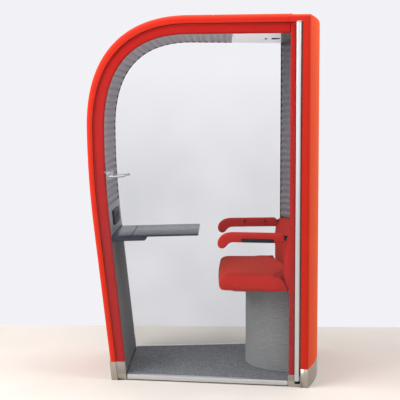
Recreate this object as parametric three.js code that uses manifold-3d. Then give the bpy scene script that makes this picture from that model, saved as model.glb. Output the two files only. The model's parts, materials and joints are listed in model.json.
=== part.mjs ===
// Acoustic office pod: an upholstered arch with a desk, a bowed seat wall, a rear pane and a glass door.
// Millimetres, +Z up. +X runs from the desk end to the seat end, and -Y is the door side.
// The origin lies on the ground, in the middle of the pod's box.
import * as THREE from 'three';
import { mergeVertices } from 'three/addons/utils/BufferGeometryUtils.js';
import Module from 'manifold-3d';

const wasm = await Module();
wasm.setup();

// Overall sizes of the shell
const podLength = 1424;
const podHeight = 2200;
const deskEndHalfDepth = 335; // middle to end plane, at the foot of the desk wall
const seatEndHalfDepth = 440; // middle to end plane, at the inner edge of the seat wall
const plinthHeight = 110;
const floorHeight = 33;

// Arch: desk wall, curve and roof
const shellFoot = 92; // thickness at the ground
const shellRoof = 114; // thickness at the roof
const wallReach = 134; // how far the desk wall leans out from the ground to its widest point
const leanTop = 950; // the desk wall is straight up to here
const widestHeight = 1530;
const roofStartX = -100; // the ceiling is flat from here to the seat wall
const archSoftness = 0.66; // handle length of the curve, as a share of its width and height
const coverThickness = 38; // padding of the wall
const coverRoof = 52; // and of the roof
const coverRound = 28;
const coverCrown = 2;
const bandRound = 8;
const bandDepth = 30;
const liningDepth = 22;
const ribPitch = 41.5;
const ribHeight = 8;

// Seat wall, bowed in plan
const seatWallThickness = 114; // at its ends
const seatBulge = 98; // rise of the outer bow
const seatHollow = 118; // rise of the inner bow
const seatCover = 42;
const seatCap = 52; // padding on top of the wall
const seatTopRound = 66;
const seatFrontBand = 33; // width of the band beside the door pivot
const seatRearBand = 12; // depth of the band beside the rear pane
const seatPlinthStep = 70; // height of the plinth's inner part
const pivotSill = 20; // what is left of it under the door pivot

// Glass and door
const glassThickness = 8;
const glassSetBack = 1; // from the end plane
const sealThickness = 3.4;
const sealWidth = 6;
const sealEdge = 4; // from the cover
const doorGap = 4;
const glassBottom = 37;
const pivotFromEdge = 54; // pivot axis from the seat wall's inner edge
const pivotInset = 12; // pivot axis from the end plane
const barrelRadius = 14;
const jawReach = 16;
const glassBite = 9; // how far the glass goes into the pivot profile
const pivotPin = 5;
const pivotPinLength = 20;
const brushDepth = 8;

// Lever set and latch
const handleHeight = 1243;
const handleFromEdge = 94; // spindle from the edge of the door glass
const roseRadius = 24;
const roseThickness = 8;
const leverNeck = 6.5;
const leverStand = 42; // rose face to the middle of the lever
const leverReach = 104;
const leverRise = 5;
const spindleSize = 8;
const caseWidth = 46;
const caseHeight = 54;
const caseDepth = 24;
const caseFromWall = 8;
const boltLift = 20; // bolt above the spindle
const boltHeight = 14;
const boltWidth = 12;
const boltEngage = 6;
const boltTravel = 9;
const strikeHeight = 73;
const strikeWidth = 26;
const strikeThickness = 2;

// Desk
const deskTop = 872;
const deskTilt = THREE.MathUtils.degToRad(1.6);
const deskHalfWidth = 232;
const deskRootReach = 116; // wall face to hinge
const deskLeafLength = 410;
const boardThickness = 18;
const leafThickness = 12;
const supportThickness = 17;
const supportReach = 92; // past the hinge, under the leaf
const supportChamfer = 12;
const deskCorner = 14;
const knuckleRadius = 3;
const hingeDrop = 3.5;
const hingePlate = 1.1;
const hingePlateHeight = 8;
const knuckleCount = 7;

// Panels and fittings on the desk wall
const socketPanelTop = 1050;
const moduleHeight = 92;
const moduleLength = 270;
const moduleDepth = 12;
const moduleCorner = 20;
const moduleCentre = 965;

// Ceiling unit and fan
const ceilingPanelReach = 330; // start of the panel from the seat wall's inner edge
const ceilingEndReach = 24; // end of the white panel from the same edge
const ceilingPanelThickness = 20;
const ledFromStart = 25;
const ledWidth = 165;
const ledHalfLength = 280;
const ledCorner = 12;
const ledDepth = 7.5;
const sensorFromEdge = 118; // from the seat wall's inner edge
const sensorRadius = 11;
const fanFromEdge = 41; // from the seat wall's inner edge
const fanSize = 120;
const fanBore = 56;
const fanDepth = 25;
const fanBlades = 7;
const ventSlots = 5;
const ventLength = 54;
const ventFromEnd = 6; // slots to the end of the panel
const ventWidth = 6;
const ventPitch = 15;

// Seat
const seatTop = 655;
const seatThickness = 100;
const seatReach = 417; // front of the cushion from the seat wall's inner edge
const seatSideGap = 28; // cushion to end plane
const seatCorner = 55;
const seatBackCorner = 16;
const seatBoardThickness = 15;
const seatBoardInset = 90;
const backrestTop = 910;
const backrestBottom = 561;
const backrestThickness = 72;
const backrestEnds = 0.45; // share of the thickness lost where the armrests swing
const pedestalReach = 241; // nose of the pedestal from the seat wall's inner edge
const pedestalLength = 300; // nose to where it is widest
const pedestalHalfWidth = 265;
const pedestalWall = 15;

// Armrests
const armrestTop = 908;
const armrestThickness = 58;
const armrestWidth = 56;
const armrestInset = 36; // outer face to end plane
const armrestReach = 367; // pin to tip
const armrestDroop = 39; // how far the tip hangs below the underside
const armrestPinX = 56; // pin from the seat wall's inner edge
const armrestPin = 5;
const armrestEdge = 10;
const barHalfHeight = 15;
const barThickness = 10;
const barLength = 138;
const trimLength = 195;
const trimHeight = 24;
const trimThickness = 2;

// Base
const carpetThickness = 5;
const floorBoardThickness = 17.4;
const plinthSheet = 3;
const thresholdFoot = 6; // clear of the ground
const thresholdWall = 4;
const thresholdLip = 22;
const thresholdLipThickness = 2;
const footRadius = 22;
const footStem = 8;
const footPad = 7;

// Clearances
const fit = 0.3;
const runningGap = 0.4;
const liningGap = 1.1;
const bowGap = 0.8; // to the faceted bow of the seat wall
const mergeTolerance = 1e-4;

// Mesh resolution
const archSteps = [1, 5, 18, 1];
const edgeSteps = 3;
const acrossSteps = 14;
const liningSteps = 6;
const curveSegments = 4;
const roundSteps = 16;
const pedestalSteps = 24;

// Places that follow from the sizes
const below = 60; // the arch's line starts this far under the ground, and pieces are cut to height
const high = podHeight + 100;
const roofInner = podHeight - shellRoof;
const widestX = -podLength / 2 + shellThickness(widestHeight);
const deskFootX = widestX + wallReach;
const leanSlope = wallReach / ((leanTop + widestHeight) / 2);
const seatEdgeX = podLength / 2 - seatBulge - seatWallThickness;
const seatOuterX = seatEdgeX + seatWallThickness;
const seatInnerApex = seatEdgeX + seatHollow;
const ceilingPanelStart = seatEdgeX - ceilingPanelReach;
const ceilingPanelEnd = seatEdgeX - ceilingEndReach;
const sensorX = seatEdgeX - sensorFromEdge;
const fanX = seatEdgeX - fanFromEdge;
const planeTaper = (seatEndHalfDepth - deskEndHalfDepth) / (seatEdgeX - deskFootX);
const planeAngle = Math.atan(planeTaper);
const glassRebate = glassSetBack + glassThickness + sealThickness + 2 * fit;
const innerZone = glassRebate + bandDepth + fit; // inset of what lies between the front and rear bands
const rearZone = glassRebate + seatRearBand + fit; // the same at the rear of the seat wall
const innerBow = bowRadius(halfDepth(seatEdgeX) - glassRebate, seatHollow);
const outerBow = bowRadius(halfDepth(seatOuterX), seatBulge);
const glassTop = podHeight - seatCap - fit;

function shellThickness(z) {
  return shellFoot + (shellRoof - shellFoot) * Math.max(0, z) / roofInner;
}

function halfDepth(x) {
  return deskEndHalfDepth + (x - deskFootX) * planeTaper;
}

function bowRadius(half, rise) {
  return (half * half + rise * rise) / (2 * rise);
}

function bowX(apex, radius, y) {
  return apex - radius + Math.sqrt(radius * radius - y * y);
}

// Solids and cuts
function solid(geometry) {
  const bare = geometry.clone();
  bare.deleteAttribute('normal');
  bare.deleteAttribute('uv');
  const merged = mergeVertices(bare, mergeTolerance);
  return new wasm.Manifold(new wasm.Mesh({
    numProp: 3,
    vertProperties: new Float32Array(merged.attributes.position.array),
    triVerts: new Uint32Array(merged.index.array),
  }));
}

function geometryOf(body) {
  const mesh = body.getMesh();
  const geometry = new THREE.BufferGeometry();
  geometry.setAttribute('position', new THREE.BufferAttribute(mesh.vertProperties, 3));
  geometry.setIndex(new THREE.BufferAttribute(mesh.triVerts, 1));
  return geometry;
}

function less(body, ...cutters) {
  return cutters.reduce((rest, cutter) => rest.subtract(cutter), body);
}

function joined(first, ...others) {
  return others.reduce((sum, other) => sum.add(other), first);
}

function boxGeometry([x0, x1], [y0, y1], [z0, z1]) {
  return new THREE.BoxGeometry(x1 - x0, y1 - y0, z1 - z0)
    .translate((x0 + x1) / 2, (y0 + y1) / 2, (z0 + z1) / 2);
}

function block(xs, ys, zs) {
  return solid(boxGeometry(xs, ys, zs));
}

// An outline drawn in X and Z, extruded along Y
function standingGeometry(outline, from, to) {
  const how = { depth: to - from, steps: 1, bevelEnabled: false, curveSegments };
  return new THREE.ExtrudeGeometry(outline, how)
    .rotateX(Math.PI / 2)
    .translate(0, to, 0);
}

// An outline drawn in X and Y, extruded along Z
function lying(outline, from, to) {
  const how = { depth: to - from, steps: 1, bevelEnabled: false, curveSegments };
  return solid(new THREE.ExtrudeGeometry(outline, how).translate(0, 0, from));
}

// A section drawn in Y and Z, extruded along X
function runningAlong(section, from, to) {
  const turn = new THREE.Matrix4().makeBasis(
    new THREE.Vector3(0, 1, 0), new THREE.Vector3(0, 0, 1), new THREE.Vector3(1, 0, 0));
  const how = { depth: to - from, steps: 1, bevelEnabled: false, curveSegments };
  return new THREE.ExtrudeGeometry(section, how)
    .applyMatrix4(turn)
    .translate(from, 0, 0);
}

function rodY(radius, [y0, y1], x, z) {
  return new THREE.CylinderGeometry(radius, radius, y1 - y0, roundSteps)
    .translate(x, (y0 + y1) / 2, z);
}

function rodZ(radius, [z0, z1], x, y) {
  return new THREE.CylinderGeometry(radius, radius, z1 - z0, roundSteps)
    .rotateX(Math.PI / 2)
    .translate(x, y, (z0 + z1) / 2);
}

function outlineOf(points) {
  return new THREE.Shape(points.map(([a, b]) => new THREE.Vector2(a, b)));
}

function roundedRectangle([x0, x1], [y0, y1], radius) {
  const shape = new THREE.Shape();
  shape.moveTo(x0 + radius, y0);
  shape.lineTo(x1 - radius, y0);
  shape.absarc(x1 - radius, y0 + radius, radius, -Math.PI / 2, 0);
  shape.lineTo(x1, y1 - radius);
  shape.absarc(x1 - radius, y1 - radius, radius, 0, Math.PI / 2);
  shape.lineTo(x0 + radius, y1);
  shape.absarc(x0 + radius, y1 - radius, radius, Math.PI / 2, Math.PI);
  shape.lineTo(x0, y0 + radius);
  shape.absarc(x0 + radius, y0 + radius, radius, Math.PI, 1.5 * Math.PI);
  return shape;
}

// A closed skin through rings of equal length, capped at both ends by the triangles of the flat section
function loft(rings, flat) {
  const size = flat.length;
  const last = (rings.length - 1) * size;
  const faces = [];
  for (let i = 0; i < rings.length - 1; i += 1) {
    for (let j = 0; j < size; j += 1) {
      const a = i * size + j;
      const b = i * size + (j + 1) % size;
      faces.push([a, b, a + size], [b, b + size, a + size]);
    }
  }
  const forward = THREE.ShapeUtils.area(flat) > 0;
  for (const [a, b, c] of THREE.ShapeUtils.triangulateShape(flat, [])) {
    const along = THREE.ShapeUtils.area([flat[a], flat[b], flat[c]]) > 0 === forward;
    const [p, q, r] = along ? [a, b, c] : [a, c, b];
    faces.push([p, r, q], [last + p, last + q, last + r]);
  }
  const positions = rings.flat();
  const corner = (i) => new THREE.Vector3(...positions[i]);
  const volume = faces.reduce((sum, [a, b, c]) => sum + corner(a).dot(corner(b).cross(corner(c))), 0);
  const index = faces.flatMap(([a, b, c]) => (volume > 0 ? [a, b, c] : [a, c, b]));
  const geometry = new THREE.BufferGeometry();
  geometry.setAttribute('position', new THREE.Float32BufferAttribute(positions.flat(), 3));
  geometry.setIndex(index);
  return solid(geometry);
}

// The arch's inner line in X and Z: a leaning wall, an easing to upright, the curve and the flat roof
const archLine = new THREE.CurvePath();
const archFoot = new THREE.Vector2(deskFootX + leanSlope * below, -below);
const archLean = new THREE.Vector2(deskFootX - leanSlope * leanTop, leanTop);
const archTurn = new THREE.Vector2(widestX, (leanTop + widestHeight) / 2);
const archWidest = new THREE.Vector2(widestX, widestHeight);
const archRise = new THREE.Vector2(widestX, widestHeight + archSoftness * (roofInner - widestHeight));
const archRun = new THREE.Vector2(roofStartX - archSoftness * (roofStartX - widestX), roofInner);
const archRoof = new THREE.Vector2(roofStartX, roofInner);
const archEnd = new THREE.Vector2(seatInnerApex + seatWallThickness / 2, roofInner);
archLine.add(new THREE.LineCurve(archFoot, archLean));
archLine.add(new THREE.QuadraticBezierCurve(archLean, archTurn, archWidest));
archLine.add(new THREE.CubicBezierCurve(archWidest, archRise, archRun, archRoof));
archLine.add(new THREE.LineCurve(archRoof, archEnd));
const archLength = archLine.getLength();

function archPoint(s, offset) {
  const share = s / archLength;
  const point = archLine.getPoint(share);
  const along = archLine.getTangent(share);
  return new THREE.Vector2(point.x - along.y * offset, point.y + along.x * offset);
}

function archThickness(s) {
  return shellThickness(archPoint(s, 0).y);
}

// Length along the arch at which the desk wall reaches a height
function archAtHeight(z) {
  let low = 0;
  let top = archLine.getCurveLengths()[1];
  for (let i = 0; i < 40; i += 1) {
    const middle = (low + top) / 2;
    if (archPoint(middle, 0).y < z) low = middle;
    else top = middle;
  }
  return low;
}

function archAtRoofX(x) {
  return archLength - (archEnd.x - x);
}

function archStations(start, end) {
  const stations = [start];
  let from = 0;
  archLine.getCurveLengths().forEach((to, i) => {
    for (let k = 1; k <= archSteps[i]; k += 1) {
      const s = from + (to - from) * k / archSteps[i];
      if (s > start + 1 && s < end - 1) stations.push(s);
    }
    from = to;
  });
  return [...stations, end];
}

// A ring's entries are [offset from the inner line, inset from the end plane, side]; side 0 is the middle
function archLoft(stations, ring) {
  const rings = stations.map((s) => ring(s).map(([offset, inset, side]) => {
    const point = archPoint(s, offset);
    return [point.x, side * (halfDepth(point.x) - inset), point.y];
  }));
  const flat = ring(stations[0]).map(([offset, inset, side]) =>
    new THREE.Vector2(side * (deskEndHalfDepth - inset), offset));
  return loft(rings, flat);
}

function slabRing(inner, outer, inset) {
  return (s) => [
    [inner(s), inset, -1], [outer(s), inset, -1], [outer(s), inset, 1], [inner(s), inset, 1]];
}

const wholeArch = archStations(0, archLength);

// Padding of the outer cover, fuller over the roof
function coverAt(s) {
  const rise = (archPoint(s, 0).y - widestHeight) / (roofInner - widestHeight);
  return coverThickness + (coverRoof - coverThickness) * Math.min(1, Math.max(0, rise));
}

const glassLine = (s) => archThickness(s) - coverAt(s);

// Everything below a height, and everything beyond the seat wall's inner face
function under(z) {
  return block([-podLength, podLength], [-podLength, podLength], [-2 * below - 200, z]);
}

function over(z) {
  return block([-podLength, podLength], [-podLength, podLength], [z, high + 200]);
}

function bowLine(depth, reach) {
  const points = [];
  for (let i = 0; i <= acrossSteps; i += 1) {
    const y = reach * (2 * i / acrossSteps - 1);
    points.push([bowX(seatInnerApex - depth, innerBow, y), y]);
  }
  return points;
}

function beyondSeatWall(gap) {
  const line = bowLine(gap, halfDepth(seatEdgeX));
  const [edgeX, edgeY] = line.at(-1);
  const clear = edgeY + seatWallThickness;
  return lying(outlineOf([
    [edgeX, -clear], ...line, [edgeX, clear], [podLength, clear], [podLength, -clear]]), -below - 10, high);
}

// A point in the seat wall: across runs from -1 at the front to 1 at the rear,
// and depth is measured from the inner or the outer face
function seatPoint(across, inset, face, depth) {
  const innerY = across * (halfDepth(seatEdgeX) - inset);
  const outerY = across * (halfDepth(seatOuterX) - inset);
  const inner = new THREE.Vector2(bowX(seatInnerApex, innerBow, innerY), innerY);
  const outer = new THREE.Vector2(bowX(podLength / 2, outerBow, outerY), outerY);
  const step = outer.clone().sub(inner).setLength(Math.abs(depth));
  if ((face === 'in') === (depth < 0)) step.negate();
  return (face === 'in' ? inner : outer).add(step);
}

function acrossStations(inset, steps = acrossSteps, rearInset = inset) {
  const stations = [];
  for (let i = 0; i <= steps; i += 1) {
    stations.push([2 * i / steps - 1, inset + (rearInset - inset) * i / steps]);
  }
  return stations;
}

// A ring's entries are [face, depth, height]
function seatLoft(stations, ring) {
  const rings = stations.map(([across, inset]) => ring(across).map(([face, depth, z]) => {
    const point = seatPoint(across, inset, face, depth);
    return [point.x, point.y, z];
  }));
  const flat = ring(0).map(([face, depth, z]) =>
    new THREE.Vector2(face === 'in' ? depth : seatWallThickness - depth, z));
  return loft(rings, flat);
}

// The frame of the front end plane: x along the glass, y into the pod
const frontFrame = new THREE.Matrix4()
  .makeTranslation(0, -halfDepth(0), 0)
  .multiply(new THREE.Matrix4().makeRotationZ(-planeAngle));

function alongGlass(x, inset) {
  return (x - inset * Math.sin(planeAngle)) / Math.cos(planeAngle);
}

function inFront(geometry) {
  return solid(geometry.clone().applyMatrix4(frontFrame));
}

function mirrored(body) {
  const geometry = geometryOf(body).scale(1, -1, 1);
  const index = Array.from(geometry.index.array);
  for (let i = 0; i < index.length; i += 3) {
    [index[i], index[i + 1]] = [index[i + 1], index[i]];
  }
  geometry.setIndex(index);
  return solid(geometry);
}

// Finishes
const finishes = {
  redFabric: { color: 0xd8321f, roughness: 0.9, metalness: 0 },
  greyFoam: { color: 0x77777c, roughness: 0.95, metalness: 0 },
  darkFelt: { color: 0x55575a, roughness: 0.95, metalness: 0 },
  greyWeave: { color: 0x7d807d, roughness: 0.9, metalness: 0 },
  carpet: { color: 0x5a5c62, roughness: 1, metalness: 0 },
  plywood: { color: 0xc9a878, roughness: 0.7, metalness: 0 },
  paleLaminate: { color: 0xa8abae, roughness: 0.6, metalness: 0 },
  whiteLacquer: { color: 0xe6e8ea, roughness: 0.5, metalness: 0 },
  anthracite: { color: 0x34353c, roughness: 0.5, metalness: 0 },
  blackPlastic: { color: 0x1c1c1e, roughness: 0.5, metalness: 0 },
  rubber: { color: 0x202022, roughness: 0.9, metalness: 0 },
  frosted: { color: 0xf4f4f0, roughness: 0.6, metalness: 0 },
  aluminium: { color: 0xdde1e5, roughness: 0.35, metalness: 0.9 },
  stainless: { color: 0xbeb2a5, roughness: 0.35, metalness: 1 },
  steel: { color: 0xb0b2b4, roughness: 0.3, metalness: 1 },
  glass: { color: 0xe8f0ee, roughness: 0.05, metalness: 0, transparent: true, opacity: 0.25 },
};

function piece(parent, name, shape, finish) {
  const geometry = shape.isBufferGeometry ? shape : geometryOf(shape);
  geometry.computeVertexNormals();
  const mesh = new THREE.Mesh(geometry, new THREE.MeshStandardMaterial(finishes[finish]));
  mesh.name = name;
  parent.add(mesh);
  return mesh;
}

const pod = new THREE.Group();
const front = new THREE.Group();
front.applyMatrix4(frontFrame);
const rearMirror = new THREE.Group();
rearMirror.scale.y = -1;
const rear = new THREE.Group();
rear.applyMatrix4(frontFrame);
rearMirror.add(rear);
pod.add(front, rearMirror);

// Places on the door: pivot axis, spindle and latch
const pivotU = alongGlass(seatEdgeX + pivotFromEdge, pivotInset);
const handleAt = archAtHeight(handleHeight);
const handleU = alongGlass(archPoint(handleAt, glassLine(handleAt) - doorGap).x + handleFromEdge, 0);
const wallU = alongGlass(archPoint(archAtHeight(handleHeight + boltLift), 0).x, glassRebate);
const boltHeightAt = handleHeight + boltLift;
const glassBack = glassSetBack + glassThickness;
const boltFront = glassBack + (caseDepth - boltWidth) / 2;

// Places on the armrests, in the frame of an end plane
const armrestPinU = alongGlass(seatEdgeX - armrestPinX, armrestInset);
const armrestMiddle = armrestInset + armrestWidth / 2;
const armrestPinZ = armrestTop - armrestThickness / 2;

function barGeometry(gap, endGap) {
  const half = barHalfHeight + gap;
  return boxGeometry(
    [armrestPinU, armrestPinU + barLength + endGap],
    [armrestMiddle - barThickness / 2 - gap, armrestMiddle + barThickness / 2 + gap],
    [armrestPinZ - half, armrestPinZ + half]);
}

function barSlots() {
  const slot = inFront(barGeometry(runningGap, runningGap));
  return [slot, mirrored(slot)];
}

// Arch
function archCoverRing(s) {
  const top = archThickness(s);
  const edge = [];
  for (let i = 0; i <= edgeSteps; i += 1) {
    const turn = (Math.PI / 2) * (i / edgeSteps);
    const drop = coverRound * (1 - Math.sin(turn));
    edge.push([top - coverCrown - drop, coverRound * (1 - Math.cos(turn))]);
  }
  return [
    [top - coverAt(s), 0, -1],
    ...edge.map(([offset, inset]) => [offset, inset, -1]),
    [top, 0, 0],
    ...edge.reverse().map(([offset, inset]) => [offset, inset, 1]),
    [top - coverAt(s), 0, 1],
  ];
}

function archBandRing(s) {
  const outer = glassLine(s) - fit;
  const face = glassRebate;
  const back = glassRebate + bandDepth;
  const soft = bandRound * (1 - Math.SQRT1_2);
  return [
    [outer, face, -1], [bandRound, face, -1], [soft, face + soft, -1],
    [0, face + bandRound, -1], [0, back, -1], [outer, back, -1]];
}

function boltNotch() {
  const point = archPoint(archAtHeight(boltHeightAt), 0);
  const half = boltHeight / 2 + runningGap;
  return inFront(boxGeometry(
    [wallU - boltEngage - boltWidth / 2, wallU + strikeThickness + boltWidth],
    [0, boltFront + boltWidth + 2 * runningGap],
    [point.y - half, point.y + half]));
}

function fanPocket() {
  const half = fanSize / 2 + 2 * runningGap;
  return block([fanX - half, fanX + half], [-half, half], [roofInner, podHeight]);
}

function addArch() {
  const trim = [under(plinthHeight + fit), beyondSeatWall(bowGap)];
  piece(pod, 'arch_cover', less(archLoft(wholeArch, archCoverRing), ...trim), 'redFabric');
  const core = archLoft(wholeArch, slabRing(() => liningDepth, (s) => glassLine(s) - fit, innerZone));
  piece(pod, 'arch_core', less(core, ...trim, fanPocket()), 'plywood');
  const band = less(archLoft(wholeArch, archBandRing), ...trim);
  piece(pod, 'arch_front_band', less(band, boltNotch()), 'redFabric');
  piece(pod, 'arch_rear_band', mirrored(band), 'redFabric');
  addArchLining();
  addWallPanels();
}

// Corrugated foam: ribs run across the pod, crest level with the bands' inner edge
function ribDepth(share) {
  return ribHeight * (1 - Math.abs(Math.sin(Math.PI * share)));
}

function addArchLining() {
  const start = archAtHeight(socketPanelTop) + fit;
  const end = archAtRoofX(ceilingPanelStart) - fit;
  const ribs = Math.round((end - start) / ribPitch);
  const perRib = 4;
  const stations = [];
  for (let i = 0; i <= ribs * perRib; i += 1) stations.push(start + (end - start) * i / (ribs * perRib));
  const share = (s) => (s - start) / (end - start) * ribs;
  const ring = slabRing((s) => ribDepth(share(s)), () => liningDepth - liningGap, innerZone);
  piece(pod, 'arch_lining', archLoft(stations, ring), 'greyFoam');
}

function wallPanel(from, to) {
  const stations = archStations(0, archAtHeight(to));
  const slab = archLoft(stations, slabRing(() => 0, () => liningDepth - fit, innerZone));
  return less(slab, under(from));
}

function addWallPanels() {
  const deskFoot = deskTop - boardThickness - supportThickness;
  const drop = (deskRootReach + liningDepth) * Math.sin(deskTilt);
  piece(pod, 'desk_wall_panel', wallPanel(floorHeight + fit, deskFoot - drop - 2 * fit), 'darkFelt');
  piece(pod, 'socket_panel', wallPanel(deskTop + fit, socketPanelTop), 'paleLaminate');
  const foot = archPoint(archAtHeight(moduleCentre - moduleHeight / 2), 0);
  const head = archPoint(archAtHeight(moduleCentre + moduleHeight / 2), 0);
  const module = new THREE.Group();
  module.position.set((foot.x + head.x) / 2, 0, (foot.y + head.y) / 2);
  module.rotation.y = Math.atan2(head.x - foot.x, head.y - foot.y);
  const face = roundedRectangle(
    [-moduleLength / 2, moduleLength / 2], [-moduleHeight / 2, moduleHeight / 2], moduleCorner);
  piece(module, 'power_module', runningAlong(face, 2 * fit, 2 * fit + moduleDepth), 'blackPlastic');
  pod.add(module);
}

// Ceiling unit with its light, sensor and vents, a felt panel up to the seat wall, and the fan above
function ceilingOutline(from, to) {
  const half = (x) => halfDepth(x) - innerZone;
  const end = to ? [[to, -half(to)], [to, half(to)]] : bowLine(bowGap, half(seatEdgeX));
  return outlineOf([[from, -half(from)], ...end, [from, half(from)]]);
}

function addCeiling() {
  const top = roofInner + ceilingPanelThickness;
  const ledX = [ceilingPanelStart + ledFromStart, ceilingPanelStart + ledFromStart + ledWidth];
  const ledOutline = roundedRectangle(ledX, [-ledHalfLength, ledHalfLength], ledCorner);
  const ledRecess = roundedRectangle(
    [ledX[0] - runningGap, ledX[1] + runningGap],
    [-ledHalfLength - runningGap, ledHalfLength + runningGap], ledCorner + runningGap);
  const cutters = [lying(ledRecess, roofInner - 1, roofInner + ledDepth + fit)];
  cutters.push(solid(rodZ(sensorRadius + runningGap, [roofInner - 1, roofInner + 3], sensorX, 0)));
  const ventEnd = ceilingPanelEnd - ventFromEnd;
  for (let i = 0; i < ventSlots; i += 1) {
    const y = ventPitch * (i - (ventSlots - 1) / 2);
    cutters.push(block([ventEnd - ventLength, ventEnd],
      [y - ventWidth / 2, y + ventWidth / 2], [roofInner - 1, top + 1]));
  }
  const panel = lying(ceilingOutline(ceilingPanelStart, ceilingPanelEnd), roofInner, top);
  piece(pod, 'ceiling_panel', less(panel, ...cutters), 'whiteLacquer');
  piece(pod, 'ceiling_end_panel', lying(ceilingOutline(ceilingPanelEnd + fit), roofInner, top), 'darkFelt');
  piece(pod, 'led_diffuser', lying(ledOutline, roofInner, roofInner + ledDepth), 'frosted');
  const lens = [];
  for (let i = 0; i <= edgeSteps; i += 1) {
    const turn = (Math.PI / 2) * (i / edgeSteps);
    lens.push(new THREE.Vector2(sensorRadius * Math.sin(turn), -sensorRadius * 0.6 * Math.cos(turn)));
  }
  lens.push(new THREE.Vector2(sensorRadius, 3 - fit), new THREE.Vector2(0, 3 - fit));
  const dome = new THREE.LatheGeometry(lens, roundSteps)
    .rotateX(Math.PI / 2)
    .translate(sensorX, 0, roofInner);
  piece(pod, 'presence_sensor', solid(dome), 'blackPlastic');
  addFan(top + fit);
}

function addFan(seat) {
  const half = fanSize / 2;
  const motor = fanBore / 3;
  const plate = fanDepth / 4;
  const top = seat + fanDepth;
  const square = lying(roundedRectangle([fanX - half, fanX + half], [-half, half], half / 8), seat, top);
  const bore = solid(rodZ(fanBore, [seat - 1, top + 1], fanX, 0));
  const boss = solid(rodZ(motor, [top - plate, top], fanX, 0));
  const spindle = solid(rodZ(motor / 6, [top - fanDepth / 2, top], fanX, 0));
  const strut = (turn) => solid(boxGeometry([0, fanBore + 1], [-2, 2], [top - plate, top])
    .rotateZ(turn).translate(fanX, 0, 0));
  const struts = [0, 1, 2, 3].map((i) => strut(i * Math.PI / 2 + Math.PI / 4));
  piece(pod, 'fan_housing', joined(less(square, bore), boss, spindle, ...struts), 'blackPlastic');
  const rotorTop = top - plate - fit;
  const hub = solid(rodZ(motor, [seat + 3, rotorTop], fanX, 0));
  const blade = (turn) => solid(boxGeometry([motor - 2, fanBore - 3], [-1, 1], [-8, 8])
    .rotateX(0.9)
    .rotateZ(turn)
    .translate(fanX, 0, (seat + 3 + rotorTop) / 2));
  const blades = [];
  for (let i = 0; i < fanBlades; i += 1) blades.push(blade(2 * Math.PI * i / fanBlades));
  const bearing = solid(rodZ(motor / 6 + runningGap, [seat + fanDepth / 2 - runningGap, top], fanX, 0));
  piece(pod, 'fan_rotor', less(joined(hub, ...blades), bearing), 'blackPlastic');
}

// Seat wall
function seatCoverRing() {
  const round = [];
  for (let i = 0; i <= edgeSteps + 2; i += 1) {
    const turn = (Math.PI / 2) * (i / (edgeSteps + 2));
    round.push(['out', seatTopRound * (1 - Math.cos(turn)), podHeight - seatTopRound * (1 - Math.sin(turn))]);
  }
  const cap = podHeight - seatCap;
  return [
    ['out', seatCover, plinthHeight + fit], ['out', 0, plinthHeight + fit], ...round,
    ['in', 0, podHeight], ['in', 0, cap], ['out', seatCover, cap]];
}

function seatCoreRing() {
  const foot = seatPlinthStep + fit;
  const top = podHeight - seatCap - fit;
  return [
    ['in', 0, foot], ['out', seatCover + bowGap, foot], ['out', seatCover + bowGap, top],
    ['in', liningDepth, top], ['in', liningDepth, backrestBottom - fit], ['in', 0, backrestBottom - fit]];
}

function seatBand(side, outer, depth) {
  const foot = seatPlinthStep + fit;
  const top = podHeight - seatCap - fit;
  const stations = [[side, glassRebate], [side, glassRebate + depth]];
  return seatLoft(stations, () => [['in', 0, foot], [...outer, foot], [...outer, top], ['in', 0, top]]);
}

function addSeatWall() {
  const topPivotPocket = inFront(boxGeometry(
    [pivotU - barrelRadius, pivotU + barrelRadius],
    [-barrelRadius, pivotInset + barrelRadius],
    [0, podHeight - seatCap + plinthSheet * 2 + fit]));
  const cover = seatLoft(acrossStations(0), seatCoverRing);
  const core = seatLoft(acrossStations(innerZone, acrossSteps, rearZone), seatCoreRing);
  piece(pod, 'seat_wall_cover', less(cover, topPivotPocket), 'redFabric');
  piece(pod, 'seat_wall_core', less(core, ...barSlots()), 'darkFelt');
  piece(pod, 'seat_wall_front_band', seatBand(-1, ['in', seatFrontBand], bandDepth), 'redFabric');
  const rearBand = seatBand(1, ['out', seatCover + bowGap], seatRearBand);
  piece(pod, 'seat_wall_rear_band', rearBand, 'redFabric');
  addSeatLining();
}

function addSeatLining() {
  const start = backrestTop + fit;
  const end = roofInner - fit;
  const ribs = Math.round((end - start) / ribPitch);
  const perRib = 2;
  const across = acrossStations(innerZone, liningSteps, rearZone);
  const rings = [];
  for (let i = 0; i <= ribs * perRib; i += 1) {
    const z = start + (end - start) * i / (ribs * perRib);
    const at = (depth) => ([side, inset]) => {
      const point = seatPoint(side, inset, 'in', depth);
      return [point.x, point.y, z];
    };
    const back = across.map(at(liningDepth - liningGap)).reverse();
    rings.push([...across.map(at(ribDepth(i / perRib))), ...back]);
  }
  const flat = rings[0].map(([x, y]) => new THREE.Vector2(x, y));
  piece(pod, 'seat_wall_lining', loft(rings, flat), 'greyFoam');
}

// Base
function floorOutline(gap) {
  const reach = halfDepth(seatEdgeX) - glassRebate - thresholdWall - gap;
  const startX = deskFootX + 1;
  const startHalf = halfDepth(startX) - glassRebate - thresholdWall - gap;
  return outlineOf([[startX, -startHalf], ...bowLine(bowGap, reach), [startX, startHalf]]);
}

// The desk plinth follows the bands at both ends and stands back behind the wall panel between them
function deskPlinthRing(wall) {
  return (s) => {
    const panel = liningDepth + wall;
    const cheek = glassRebate + bandDepth - wall;
    const face = glassRebate + wall;
    const step = glassLine(s) + wall;
    const outer = archThickness(s) - wall;
    const half = [[panel, cheek], [wall, cheek], [wall, face], [step, face], [step, wall], [outer, wall]];
    return [
      ...half.map(([offset, inset]) => [offset, inset, -1]),
      ...half.reverse().map(([offset, inset]) => [offset, inset, 1])];
  };
}

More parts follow.
